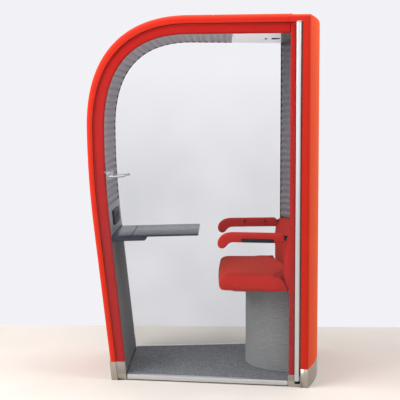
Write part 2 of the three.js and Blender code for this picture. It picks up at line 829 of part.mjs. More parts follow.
function addBase() {
  const carpetFoot = floorHeight - carpetThickness;
  const boardFoot = carpetFoot - fit - floorBoardThickness;
  piece(pod, 'floor_carpet', lying(floorOutline(2 * fit), carpetFoot, floorHeight), 'carpet');
  piece(pod, 'floor_board', lying(floorOutline(2 * fit), boardFoot, carpetFoot - fit), 'plywood');
  addThresholds();
  addPlinths();
  addFeet(boardFoot - fit);
}

function addThresholds() {
  const face = glassRebate + fit;
  const lipTop = floorHeight + fit + thresholdLipThickness;
  const section = outlineOf([
    [face, thresholdFoot], [face + thresholdWall - fit, thresholdFoot],
    [face + thresholdWall - fit, floorHeight + fit],
    [face + thresholdLip, floorHeight + fit], [face + thresholdLip, lipTop], [face, lipTop]]);
  const from = alongGlass(deskFootX, face) + 3;
  const to = alongGlass(seatEdgeX, face) - 3;
  piece(front, 'front_threshold', runningAlong(section, from, to), 'aluminium');
  piece(rear, 'rear_threshold', runningAlong(section, from, to), 'aluminium');
}

function addPlinths() {
  const stations = archStations(0, archAtHeight(2 * plinthHeight));
  const deskBox = less(archLoft(stations, deskPlinthRing(0)), under(0), over(plinthHeight));
  const deskHollow = less(archLoft(stations, deskPlinthRing(plinthSheet)), over(plinthHeight - plinthSheet));
  piece(pod, 'desk_plinth', less(deskBox, deskHollow), 'stainless');
  const boxRing = (inner, outer, top) => () => [
    [...inner, -below], [...outer, -below], [...outer, top], [...inner, top]];
  const seatBox = (wall) => joined(
    seatLoft(acrossStations(glassRebate + wall),
      boxRing(['in', wall], ['out', seatCover - 2 * wall], seatPlinthStep - wall)),
    seatLoft(acrossStations(wall),
      boxRing(['out', seatCover - wall], ['out', wall], plinthHeight - wall)));
  const notchSpan = [pivotU - barrelRadius - 2 * fit, pivotU + barrelRadius + 2 * fit];
  const notch = inFront(boxGeometry(notchSpan, [-barrelRadius, innerZone], [pivotSill, plinthHeight + 1]));
  const behindSill = inFront(boxGeometry(
    notchSpan, [glassRebate + plinthSheet, innerZone], [-below, pivotSill + 1]));
  const shell = less(seatBox(0), under(0), seatBox(plinthSheet), notch, behindSill);
  piece(pod, 'seat_plinth', shell, 'stainless');
}

function addFeet(top) {
  const profile = [
    [0, 0], [footRadius, 0], [footRadius, footPad - 3], [footStem, footPad], [footStem, top], [0, top]];
  const turned = new THREE.LatheGeometry(profile.map(([r, z]) => new THREE.Vector2(r, z)), roundSteps)
    .rotateX(Math.PI / 2);
  const inFromEnd = 3 * footRadius;
  [deskFootX + inFromEnd, seatEdgeX - inFromEnd].forEach((x, i) => {
    [-1, 1].forEach((side, j) => {
      const y = side * (halfDepth(x) - inFromEnd);
      piece(pod, `foot_${2 * i + j + 1}`, solid(turned.clone().translate(x, y, 0)), 'blackPlastic');
    });
  });
}

// Glass
function glassSheet(rightU) {
  const rightX = rightU * Math.cos(planeAngle);
  const stations = archStations(0, archAtRoofX(rightX));
  const points = stations.map((s) => {
    const point = archPoint(s, glassLine(s) - doorGap);
    return [alongGlass(point.x, glassSetBack), Math.min(point.y, glassTop)];
  });
  points.pop();
  points.push([rightU, points.at(-1)[1]], [rightU, -below]);
  const sheet = solid(standingGeometry(outlineOf(points), glassSetBack, glassBack));
  return less(sheet, under(glassBottom));
}

function sealRing(s) {
  const outer = glassLine(s) - sealEdge;
  const inset = glassBack + fit;
  return [
    [outer - sealWidth, inset, -1], [outer, inset, -1],
    [outer, inset + sealThickness, -1], [outer - sealWidth, inset + sealThickness, -1]];
}

function addGlass() {
  const seal = less(archLoft(wholeArch, sealRing), under(plinthHeight + fit), beyondSeatWall(bowGap));
  piece(pod, 'door_seal', seal, 'rubber');
  piece(pod, 'rear_glass_seal', mirrored(seal), 'rubber');
  const rearEdge = alongGlass(seatOuterX - seatCover - doorGap, glassSetBack);
  piece(rear, 'rear_glass', glassSheet(rearEdge), 'glass');
  const spindleHole = solid(rodY(spindleSize, [-glassBack, 2 * glassBack], handleU, handleHeight));
  piece(front, 'door_glass', less(glassSheet(pivotU - jawReach + glassBite), spindleHole), 'glass');
}

// Full-height pivot profile: a barrel on the axis with two jaws that hold the glass
function addDoorPivot() {
  const span = [glassBottom, glassTop - fit];
  const barrel = solid(rodZ(barrelRadius, span, pivotU, pivotInset));
  const jaws = block([pivotU - jawReach, pivotU], [pivotInset - barrelRadius, pivotInset], span);
  const slot = block(
    [pivotU - jawReach - 1, pivotU - jawReach + glassBite + fit],
    [glassSetBack - fit, glassBack + fit], [span[0] - 1, span[1] + 1]);
  const boreRadius = pivotPin + runningGap;
  const bores = [
    rodZ(boreRadius, [span[0] - 1, span[0] + pivotPinLength + 1], pivotU, pivotInset),
    rodZ(boreRadius, [span[1] - pivotPinLength - 1, span[1] + 1], pivotU, pivotInset)].map(solid);
  piece(front, 'door_hinge_profile', less(joined(barrel, jaws), slot, ...bores), 'aluminium');
  const blockHalf = barrelRadius + fit;
  const bottom = joined(
    block([pivotU - blockHalf, pivotU + blockHalf], [0, innerZone - fit], [pivotSill + fit, span[0] - 1]),
    block([pivotU - blockHalf, pivotU + blockHalf],
      [glassRebate + plinthSheet + fit, innerZone - fit], [0, pivotSill + 1]),
    solid(rodZ(pivotPin, [span[0] - 2, span[0] + pivotPinLength], pivotU, pivotInset)));
  piece(front, 'door_bottom_pivot', bottom, 'blackPlastic');
  const plateFoot = podHeight - seatCap;
  const plateHalf = barrelRadius - fit;
  const plate = block([pivotU - plateHalf, pivotU + plateHalf],
    [pivotInset - plateHalf, pivotInset + plateHalf], [plateFoot, plateFoot + 2 * plinthSheet]);
  const pin = solid(rodZ(pivotPin, [span[1] - pivotPinLength, plateFoot + 1], pivotU, pivotInset));
  piece(front, 'door_top_pivot', joined(plate, pin), 'steel');
  const brushFrom = pivotU + barrelRadius + 2 * runningGap;
  const brushTo = alongGlass(seatOuterX - seatCover, glassSetBack) - fit;
  piece(front, 'door_brush', block([brushFrom, brushTo],
    [pivotInset - brushDepth / 2, pivotInset + brushDepth / 2],
    [plinthHeight + fit, podHeight - seatCap - fit]), 'rubber');
}

// Lever set: roses, two levers on one spindle, latch case, bolt and strike
function lever(side) {
  const outerFace = glassSetBack - fit - roseThickness;
  const innerFace = glassBack + fit + caseDepth + fit + roseThickness;
  const rose = side > 0 ? innerFace : outerFace;
  const tip = rose + side * leverStand;
  const path = new THREE.CatmullRomCurve3([
    [0, 0], [leverReach * 0.32, -leverRise / 6],
    [leverReach * 0.68, leverRise * 0.7], [leverReach, leverRise],
  ].map(([u, z]) => new THREE.Vector3(handleU + u, tip, handleHeight + z)));
  const oval = new THREE.Shape().absellipse(0, 0, leverNeck * 0.75, leverNeck, 0, 2 * Math.PI);
  const arm = new THREE.ExtrudeGeometry(oval, { steps: 10, extrudePath: path, curveSegments });
  const ends = [rose + side * fit, tip + side * leverNeck * 0.75].sort((a, b) => a - b);
  const neck = rodY(leverNeck, ends, handleU, handleHeight);
  const socket = spindleSize / 2 + runningGap / 2;
  const socketEnds = [rose - side, rose + side * (leverStand * 0.6 + fit)].sort((a, b) => a - b);
  const hole = block([handleU - socket, handleU + socket], socketEnds,
    [handleHeight - socket, handleHeight + socket]);
  return less(joined(solid(arm), solid(neck)), hole);
}

function rose(from) {
  const ends = [from, from + roseThickness];
  const hole = solid(rodY(spindleSize * 0.8, [ends[0] - 1, ends[1] + 1], handleU, handleHeight));
  return less(solid(rodY(roseRadius, ends, handleU, handleHeight)), hole);
}

function addLeverSet() {
  const caseBack = glassBack + fit;
  const innerFace = caseBack + caseDepth + fit;
  piece(front, 'outer_rose', rose(glassSetBack - fit - roseThickness), 'steel');
  piece(front, 'inner_rose', rose(innerFace), 'steel');
  piece(front, 'outer_lever', lever(-1), 'steel');
  piece(front, 'inner_lever', lever(1), 'steel');
  const half = spindleSize / 2;
  const reach = roseThickness + leverStand * 0.6;
  piece(front, 'lever_spindle', block([handleU - half, handleU + half],
    [glassSetBack - fit - reach, innerFace + reach], [handleHeight - half, handleHeight + half]), 'steel');
  addLatch(caseBack);
}

function addLatch(caseBack) {
  const left = wallU + caseFromWall;
  const caseFoot = handleHeight - caseHeight / 2 + boltLift / 4;
  const caseFront = caseBack + caseDepth;
  const body = block([left, left + caseWidth], [caseBack, caseFront], [caseFoot, caseFoot + caseHeight]);
  const boltBack = boltFront + boltWidth;
  const zs = [boltHeightAt - boltHeight / 2, boltHeightAt + boltHeight / 2];
  const boltEnd = left + caseWidth - boltTravel - 5;
  const channel = block([left - 1, left + caseWidth - 4],
    [boltFront - runningGap, boltBack + runningGap], [zs[0] - runningGap, zs[1] + runningGap]);
  const spindleHole = solid(rodY(spindleSize * 0.8, [caseBack - 1, caseFront + 1], handleU, handleHeight));
  piece(front, 'latch_case', less(body, channel, spindleHole), 'steel');
  const tip = wallU - boltEngage;
  const plan = outlineOf([
    [tip, boltFront], [boltEnd, boltFront], [boltEnd, boltBack], [tip + boltWidth - 2, boltBack],
    [tip, boltFront + 2]]);
  piece(front, 'latch_bolt', lying(plan, ...zs), 'steel');
  addStrike();
}

function addStrike() {
  const s = archAtHeight(boltHeightAt);
  const at = archPoint(s, 0);
  const along = archLine.getTangent(s / archLength);
  const frame = new THREE.Group();
  frame.position.set(at.x, -(halfDepth(at.x) - glassRebate), at.y);
  frame.rotation.y = Math.atan2(along.x, along.y);
  const first = bandRound + fit;
  const plate = block([2 * fit, 2 * fit + strikeThickness], [first, first + strikeWidth - bandRound],
    [-strikeHeight / 2, strikeHeight / 2]);
  const half = boltHeight / 2 + 2 * runningGap;
  const mouth = block([-1, 2 * strikeThickness], [0, boltFront + boltWidth - glassRebate + 3 * runningGap],
    [-half, half]);
  piece(frame, 'strike_plate', less(plate, mouth), 'blackPlastic');
  pod.add(frame);
}

// Desk, in a frame at the hinge line: x towards the seat, z up from the top
const deskHingeX = deskFootX - leanSlope * deskTop + deskRootReach;

function hingeGroove() {
  const deep = hingeDrop + knuckleRadius;
  const reach = deskHalfWidth + 1;
  const section = outlineOf([[0, -hingeDrop - fit], [deep, knuckleRadius], [-deep, knuckleRadius]]);
  const vee = standingGeometry(section, -reach, reach);
  const round = rodY(knuckleRadius + runningGap, [-reach, reach], 0, -hingeDrop);
  return joined(solid(vee), solid(round));
}

// What lies behind the wall panels, where the desk's root ends
function behindPanels() {
  const stations = archStations(0, archAtHeight(widestHeight) - 1);
  return archLoft(stations, slabRing(() => liningDepth - fit, archThickness, 0));
}

function addDesk() {
  const desk = new THREE.Group();
  desk.position.set(deskHingeX, 0, deskTop);
  desk.rotation.y = -deskTilt;
  desk.updateMatrix();
  pod.add(desk);
  const cutToWall = (body) => less(solid(geometryOf(body).applyMatrix4(desk.matrix)), behindPanels());
  const seam = hingePlate + 2 * fit;
  const wallX = -deskRootReach + leanSlope * (boardThickness + supportThickness) + 1;
  const tongueX = -deskRootReach - 2 * liningDepth;
  const tongueHalf = halfDepth(deskHingeX - deskRootReach - liningDepth) - innerZone - 1;
  const rootOutline = (end) => outlineOf([
    [tongueX, -tongueHalf], [wallX, -tongueHalf], [wallX, -deskHalfWidth], [end, -deskHalfWidth],
    [end, deskHalfWidth], [wallX, deskHalfWidth], [wallX, tongueHalf], [tongueX, tongueHalf]]);
  const fixed = less(lying(rootOutline(-seam), -boardThickness, 0), hingeGroove());
  piece(pod, 'desk_fixed_top', cutToWall(fixed), 'anthracite');
  const supportTop = -boardThickness - fit;
  const supportFoot = supportTop - supportThickness;
  const nose = standingGeometry(outlineOf([
    [supportReach + 1, supportFoot - 1], [supportReach + 1, supportTop + 1],
    [supportReach, supportTop - supportThickness + supportChamfer],
    [supportReach - supportChamfer, supportFoot - 1]]), -deskHalfWidth - 1, deskHalfWidth + 1);
  const pad = block([seam, supportReach - supportChamfer], [-deskHalfWidth, deskHalfWidth],
    [supportTop - 1, -leafThickness - fit]);
  const support = joined(less(lying(rootOutline(supportReach), supportFoot, supportTop), solid(nose)), pad);
  piece(pod, 'desk_support', cutToWall(support), 'anthracite');
  const leaf = new THREE.Shape();
  leaf.moveTo(seam, -deskHalfWidth);
  leaf.lineTo(deskLeafLength - deskCorner, -deskHalfWidth);
  leaf.absarc(deskLeafLength - deskCorner, deskCorner - deskHalfWidth, deskCorner, -Math.PI / 2, 0);
  leaf.lineTo(deskLeafLength, deskHalfWidth - deskCorner);
  leaf.absarc(deskLeafLength - deskCorner, deskHalfWidth - deskCorner, deskCorner, 0, Math.PI / 2);
  leaf.lineTo(seam, deskHalfWidth);
  piece(desk, 'desk_leaf', less(lying(leaf, -leafThickness, 0), hingeGroove()), 'anthracite');
  addDeskHinge(desk);
}

// Piano hinge: the two plates carry alternate knuckles on one pin
function addDeskHinge(desk) {
  const half = deskHalfWidth - deskCorner;
  const pitch = 2 * half / knuckleCount;
  const plate = (side) => block(
    side > 0 ? [fit, fit + hingePlate] : [-fit - hingePlate, -fit], [-half, half],
    [-hingeDrop - hingePlateHeight, -hingeDrop - fit]);
  const knuckle = (i, radius, gap) => solid(rodY(radius,
    [-half + i * pitch + gap, -half + (i + 1) * pitch - gap], 0, -hingeDrop));
  const own = (parity) => [...Array(knuckleCount).keys()].filter((i) => i % 2 === parity);
  const pin = solid(rodY(knuckleRadius / 2, [-half, half], 0, -hingeDrop));
  const bore = solid(rodY(knuckleRadius / 2 + fit, [-half - 1, half + 1], 0, -hingeDrop));
  const fixedCut = own(1).map((i) => knuckle(i, knuckleRadius + fit, -fit / 2));
  const movingCut = own(0).map((i) => knuckle(i, knuckleRadius + fit, -fit / 2));
  const fixedKnuckles = own(0).map((i) => knuckle(i, knuckleRadius, fit));
  const movingKnuckles = own(1).map((i) => knuckle(i, knuckleRadius, fit));
  const fixed = joined(less(plate(-1), ...fixedCut), ...fixedKnuckles, pin);
  const moving = less(joined(less(plate(1), ...movingCut), ...movingKnuckles), bore);
  piece(desk, 'desk_hinge_fixed', fixed, 'blackPlastic');
  piece(desk, 'desk_hinge_moving', moving, 'blackPlastic');
}

// Seat
function corner([ax, ay], [bx, by], [cx, cy], radius) {
  const into = new THREE.Vector2(ax - bx, ay - by).setLength(radius);
  const out = new THREE.Vector2(cx - bx, cy - by).setLength(radius);
  const curve = new THREE.QuadraticBezierCurve(
    new THREE.Vector2(bx + into.x, by + into.y), new THREE.Vector2(bx, by),
    new THREE.Vector2(bx + out.x, by + out.y));
  return curve.getPoints(edgeSteps).map((p) => [p.x, p.y]);
}

// Plan of the cushion: sides along the glass and drawn in a little, back along the bowed backrest
function cushionOutline() {
  const frontX = seatEdgeX - seatReach;
  const frontHalf = halfDepth(frontX) - seatSideGap;
  const backHalf = halfDepth(seatEdgeX) - innerZone - seatBackCorner;
  const back = bowLine(backrestThickness - 3, backHalf);
  const [backX] = back[0];
  const drawn = 5;
  const middleX = (frontX + backX) / 2;
  const middleHalf = halfDepth(middleX) - seatSideGap - drawn;
  const sideEnd = backX - seatBackCorner / 2;
  const sideHalf = halfDepth(sideEnd) - seatSideGap;
  const frontRow = corner([frontX - 6, 0], [frontX, -frontHalf], [middleX, -middleHalf], seatCorner);
  const near = [
    [frontX - 6, 0], ...frontRow, [middleX, -middleHalf],
    ...corner([middleX, -middleHalf], [sideEnd, -sideHalf], back[0], seatBackCorner)];
  const far = near.slice(1).map(([x, y]) => [x, -y]).reverse();
  return [...near, ...back, ...far];
}

function drawnIn(points, inset) {
  const count = points.length;
  return points.map(([x, y], i) => {
    const before = points[(i + count - 1) % count];
    const after = points[(i + 1) % count];
    const along = new THREE.Vector2(after[0] - before[0], after[1] - before[1]).normalize();
    return [x - along.y * inset, y + along.x * inset];
  });
}

function seatBoardOutline() {
  const frontX = seatEdgeX - seatReach + seatBoardInset;
  const backX = seatEdgeX - backrestThickness;
  const half = (x) => halfDepth(x) - seatSideGap - seatBoardInset;
  return outlineOf([
    [frontX, -half(frontX)], [backX, -half(backX)], [backX, half(backX)], [frontX, half(frontX)]]);
}

function addSeat() {
  const foot = seatTop - seatThickness;
  const outline = cushionOutline();
  const flat = outline.map(([x, y]) => new THREE.Vector2(x, y));
  const levels = [
    [0, 14], [0.07, 5], [0.24, 0], [0.56, 0], [0.76, 4], [0.88, 14], [0.94, 26], [0.98, 60], [1, 110]]
    .map(([up, inset]) => [foot + seatThickness * up, inset]);
  const rings = levels.map(([z, inset]) => drawnIn(outline, inset).map(([x, y]) => [x, y, z]));
  piece(pod, 'seat_cushion', loft(rings, flat), 'redFabric');
  const boardTop = foot - fit;
  const boardFoot = boardTop - seatBoardThickness;
  piece(pod, 'seat_board', lying(seatBoardOutline(), boardFoot, boardTop), 'darkFelt');
  addPedestal(boardFoot - fit);
  addBackrest();
}

// Plan of the pedestal: half an ellipse with its nose to the desk, run on into the seat wall
function pedestalOutline(inset) {
  const widestX = seatEdgeX - pedestalReach + pedestalLength;
  const far = seatInnerApex + seatWallThickness;
  const half = pedestalHalfWidth - inset;
  const line = [[far, -half]];
  for (let i = 0; i <= pedestalSteps; i += 1) {
    const turn = Math.PI * (i / pedestalSteps - 0.5);
    line.push([widestX - (pedestalLength - inset) * Math.cos(turn), half * Math.sin(turn)]);
  }
  return outlineOf([...line, [far, half]]);
}

function addPedestal(top) {
  const outer = lying(pedestalOutline(0), floorHeight + fit, top);
  const inner = lying(pedestalOutline(pedestalWall), 0, top - pedestalWall);
  piece(pod, 'seat_pedestal', less(outer, inner, beyondSeatWall(bowGap)), 'greyWeave');
}

function addBackrest() {
  const height = backrestTop - backrestBottom;
  const swell = [
    [0, 0.8], [0.12, 0.9], [0.35, 0.99], [0.57, 1], [0.78, 0.95], [0.91, 0.8], [0.97, 0.55], [1, 0.2]];
  const ring = (across) => {
    const crown = 1 - backrestEnds * across ** 6;
    const face = swell.map(([up, share]) =>
      ['in', -backrestThickness * share * crown, backrestBottom + height * up]);
    return [['in', liningDepth - fit, backrestBottom], ...face, ['in', liningDepth - fit, backrestTop]];
  };
  const pad = seatLoft(acrossStations(innerZone + fit, acrossSteps, rearZone + fit), ring);
  piece(pod, 'backrest', less(pad, ...barSlots()), 'redFabric');
}

// Armrests: a padded arm with a drooping front, slotted over a bar that carries its pin
function armrestOutline() {
  const half = armrestThickness / 2;
  const tip = -armrestReach;
  const low = -half - armrestDroop;
  const bend = tip + 93;
  const shape = new THREE.Shape();
  shape.moveTo(0, half);
  shape.lineTo(bend, half);
  shape.bezierCurveTo(bend - 50, half, tip + 10, half - 20, tip + 1, -half + 4);
  shape.bezierCurveTo(tip - 6, low + 12, tip + 12, low, tip + 29, low);
  shape.bezierCurveTo(tip + 52, low, bend - 35, -half, bend, -half);
  shape.lineTo(0, -half);
  shape.absarc(0, 0, half, -Math.PI / 2, Math.PI / 2);
  return shape;
}

function armrestBody() {
  const geometry = new THREE.ExtrudeGeometry(armrestOutline(), {
    depth: armrestWidth - 2 * armrestEdge, steps: 1, curveSegments: 5, bevelEnabled: true,
    bevelThickness: armrestEdge, bevelSize: armrestEdge, bevelOffset: -armrestEdge, bevelSegments: 2 });
  geometry.rotateX(Math.PI / 2).translate(0, armrestWidth / 2 - armrestEdge, 0);
  const slotHalf = barThickness / 2 + runningGap;
  const clear = barHalfHeight + 2 * runningGap;
  const slot = block([-clear, armrestThickness], [-slotHalf, slotHalf], [-clear, armrestThickness]);
  const eye = solid(rodY(barHalfHeight + 2 + runningGap, [-slotHalf, slotHalf], 0, 0));
  const pinHalf = armrestWidth / 2 - armrestEdge / 2;
  const pinHole = solid(rodY(armrestPin + runningGap, [-pinHalf, pinHalf], 0, 0));
  return less(solid(geometry), slot, eye, pinHole);
}

function armrestBar() {
  const half = barThickness / 2;
  const bar = block([0, barLength], [-half, half], [-barHalfHeight, barHalfHeight]);
  const eye = solid(rodY(barHalfHeight + 2, [-half, half], 0, 0));
  const pinHalf = armrestWidth / 2 - armrestEdge / 2 - runningGap;
  return joined(bar, eye, solid(rodY(armrestPin, [-pinHalf, pinHalf], 0, 0)));
}

function armrestTrim() {
  const outer = -armrestWidth / 2 - fit;
  const start = -armrestThickness / 2 - trimLength;
  const foot = -armrestThickness / 2 + armrestEdge / 5;
  const face = roundedRectangle([start, start + trimLength], [foot, foot + trimHeight], trimHeight / 3);
  return solid(standingGeometry(face, outer - trimThickness, outer));
}

function addArmrests() {
  [['front', front], ['rear', rear]].forEach(([name, side]) => {
    const arm = new THREE.Group();
    arm.position.set(armrestPinU, armrestMiddle, armrestPinZ);
    side.add(arm);
    piece(arm, `${name}_armrest`, armrestBody(), 'redFabric');
    piece(arm, `${name}_armrest_bracket`, armrestBar(), 'blackPlastic');
    piece(arm, `${name}_armrest_trim`, armrestTrim(), 'blackPlastic');
  });
}

addBase();
addArch();
addCeiling();
addSeatWall();
addGlass();
addDoorPivot();
addLeverSet();
addDesk();
addSeat();
addArmrests();

export default pod;
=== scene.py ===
import bisect
import json
import math
import random

import bmesh
import bpy
from mathutils import Matrix, Vector


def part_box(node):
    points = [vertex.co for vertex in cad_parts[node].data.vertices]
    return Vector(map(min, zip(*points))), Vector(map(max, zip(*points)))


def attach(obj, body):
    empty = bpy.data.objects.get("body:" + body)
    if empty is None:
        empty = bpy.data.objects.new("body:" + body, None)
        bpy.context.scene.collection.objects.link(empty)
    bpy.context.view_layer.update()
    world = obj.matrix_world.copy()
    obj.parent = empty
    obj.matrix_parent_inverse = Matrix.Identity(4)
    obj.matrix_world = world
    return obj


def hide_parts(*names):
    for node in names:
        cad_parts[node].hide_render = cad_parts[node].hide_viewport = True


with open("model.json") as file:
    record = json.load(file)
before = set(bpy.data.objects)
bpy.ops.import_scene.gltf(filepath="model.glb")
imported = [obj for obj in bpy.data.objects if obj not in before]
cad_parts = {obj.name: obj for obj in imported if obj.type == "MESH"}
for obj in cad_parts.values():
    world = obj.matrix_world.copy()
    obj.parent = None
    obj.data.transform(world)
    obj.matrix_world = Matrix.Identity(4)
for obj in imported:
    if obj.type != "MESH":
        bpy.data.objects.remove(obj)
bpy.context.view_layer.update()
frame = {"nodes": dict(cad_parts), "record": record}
nodes = frame["nodes"]
record = frame["record"]
bodyOf = {node: body for body, names in record["behaviour"]["bodies"].items() for node in names}
slotOf = {part["node"]: part["material_slot"] for part in record["subparts"]}
scene = bpy.context.scene
scene.view_settings.view_transform = "Standard"
print("frame loaded:", len(nodes), "nodes")

# camera at standing height, a little right of the middle, with a long lens
camera = {"lens": 78.88, "at": (0.1, -5.5513, 1.6552), "pitch": 3.45, "turn": 1.37, "shiftX": 0.0, "shiftY": -0.1}
lens = bpy.data.cameras.new("camera")
lens.lens, lens.sensor_width = camera["lens"], 36.0
lens.shift_x, lens.shift_y = camera["shiftX"], camera["shiftY"]
eye = bpy.data.objects.new("camera", lens)
eye.location = camera["at"]
eye.rotation_euler = (math.radians(90 - camera["pitch"]), 0, math.radians(camera["turn"]))
scene.collection.objects.link(eye)
scene.camera = eye


def hexColour(text):
    parts = [int(text[i:i + 2], 16) / 255 for i in (0, 2, 4)]
    return [c / 12.92 if c <= 0.04045 else ((c + 0.055) / 1.055) ** 2.4 for c in parts] + [1.0]


def addNode(tree, kind, inputs=None, **settings):
    node = tree.nodes.new(kind)
    for key, value in settings.items():
        setattr(node, key, value)
    for key, value in (inputs or {}).items():
        socket = node.inputs[key]
        if isinstance(value, bpy.types.NodeSocket):
            tree.links.new(value, socket)
        else:
            socket.default_value = value
    return node


def startMaterial(name):
    material = bpy.data.materials.new(name)
    material.use_nodes = True
    material.node_tree.nodes.clear()
    return material, material.node_tree


def endMaterial(tree, inputs):
    shader = addNode(tree, "ShaderNodeBsdfPrincipled", inputs)
    addNode(tree, "ShaderNodeOutputMaterial", {"Surface": shader.outputs[0]})


# studio: pale floor that ends behind the pod, large soft lamps, white surroundings
studio = {
    "floor": "bcb6ae", "surround": "f2f2f6", "ambient": 0.5, "left": -4.0, "right": 4.0, "near": -4.2, "far": 1.0,
    "lamps": [((-3.2, -1.7, 3.9), 3.6, 270), ((2.3, -0.6, 4.0), 2.0, 85), ((0.0, 0.2, 4.6), 3.0, 150),
              ((0.4, -6.8, 2.6), 3.0, 36)],
}


def buildStudio():
    low = -0.0006  # just under the plinth's edges
    mesh = bpy.data.meshes.new("floor")
    corners = [(studio["left"], studio["near"], low), (studio["right"], studio["near"], low),
               (studio["right"], studio["far"], low), (studio["left"], studio["far"], low)]
    mesh.from_pydata(corners, [], [(0, 1, 2, 3)])
    floor = bpy.data.objects.new("floor", mesh)
    scene.collection.objects.link(floor)
    material, tree = startMaterial("painted floor")
    place = addNode(tree, "ShaderNodeTexCoord")
    cloud = addNode(tree, "ShaderNodeTexNoise", {"Vector": place.outputs["Object"], "Scale": 1.5, "Detail": 3.0})
    tone = addNode(tree, "ShaderNodeMix", {0: cloud.outputs["Fac"], 6: hexColour(studio["floor"]),
                                           7: hexColour("cfc9c2")}, data_type="RGBA")
    endMaterial(tree, {"Base Color": tone.outputs[2], "Roughness": 0.75})
    mesh.materials.append(material)
    world = bpy.data.worlds.new("studio")
    scene.world = world
    world.use_nodes = True
    tree = world.node_tree
    tree.nodes.clear()
    ray = addNode(tree, "ShaderNodeLightPath")
    seen = addNode(tree, "ShaderNodeMath", {0: ray.outputs["Is Camera Ray"], 1: ray.outputs["Is Glossy Ray"]},
                   operation="MAXIMUM")
    through = addNode(tree, "ShaderNodeMath", {0: seen.outputs[0], 1: ray.outputs["Is Transmission Ray"]},
                      operation="MAXIMUM")
    strength = addNode(tree, "ShaderNodeMapRange", {"Value": through.outputs[0], "To Min": studio["ambient"],
                                                    "To Max": 1.0})
    sky = addNode(tree, "ShaderNodeBackground", {"Color": hexColour(studio["surround"]),
                                                 "Strength": strength.outputs["Result"]})
    addNode(tree, "ShaderNodeOutputWorld", {"Surface": sky.outputs[0]})
    middle = Vector((0, 0, 1.1))
    for i, (at, size, power) in enumerate(studio["lamps"]):
        lamp = bpy.data.lights.new(f"softbox_{i + 1}", "AREA")
        lamp.size, lamp.energy = size, power
        holder = bpy.data.objects.new(f"softbox_{i + 1}", lamp)
        holder.location = at
        holder.rotation_euler = (middle - Vector(at)).to_track_quat("-Z", "Y").to_euler()
        scene.collection.objects.link(holder)
    print("studio ready")


buildStudio()


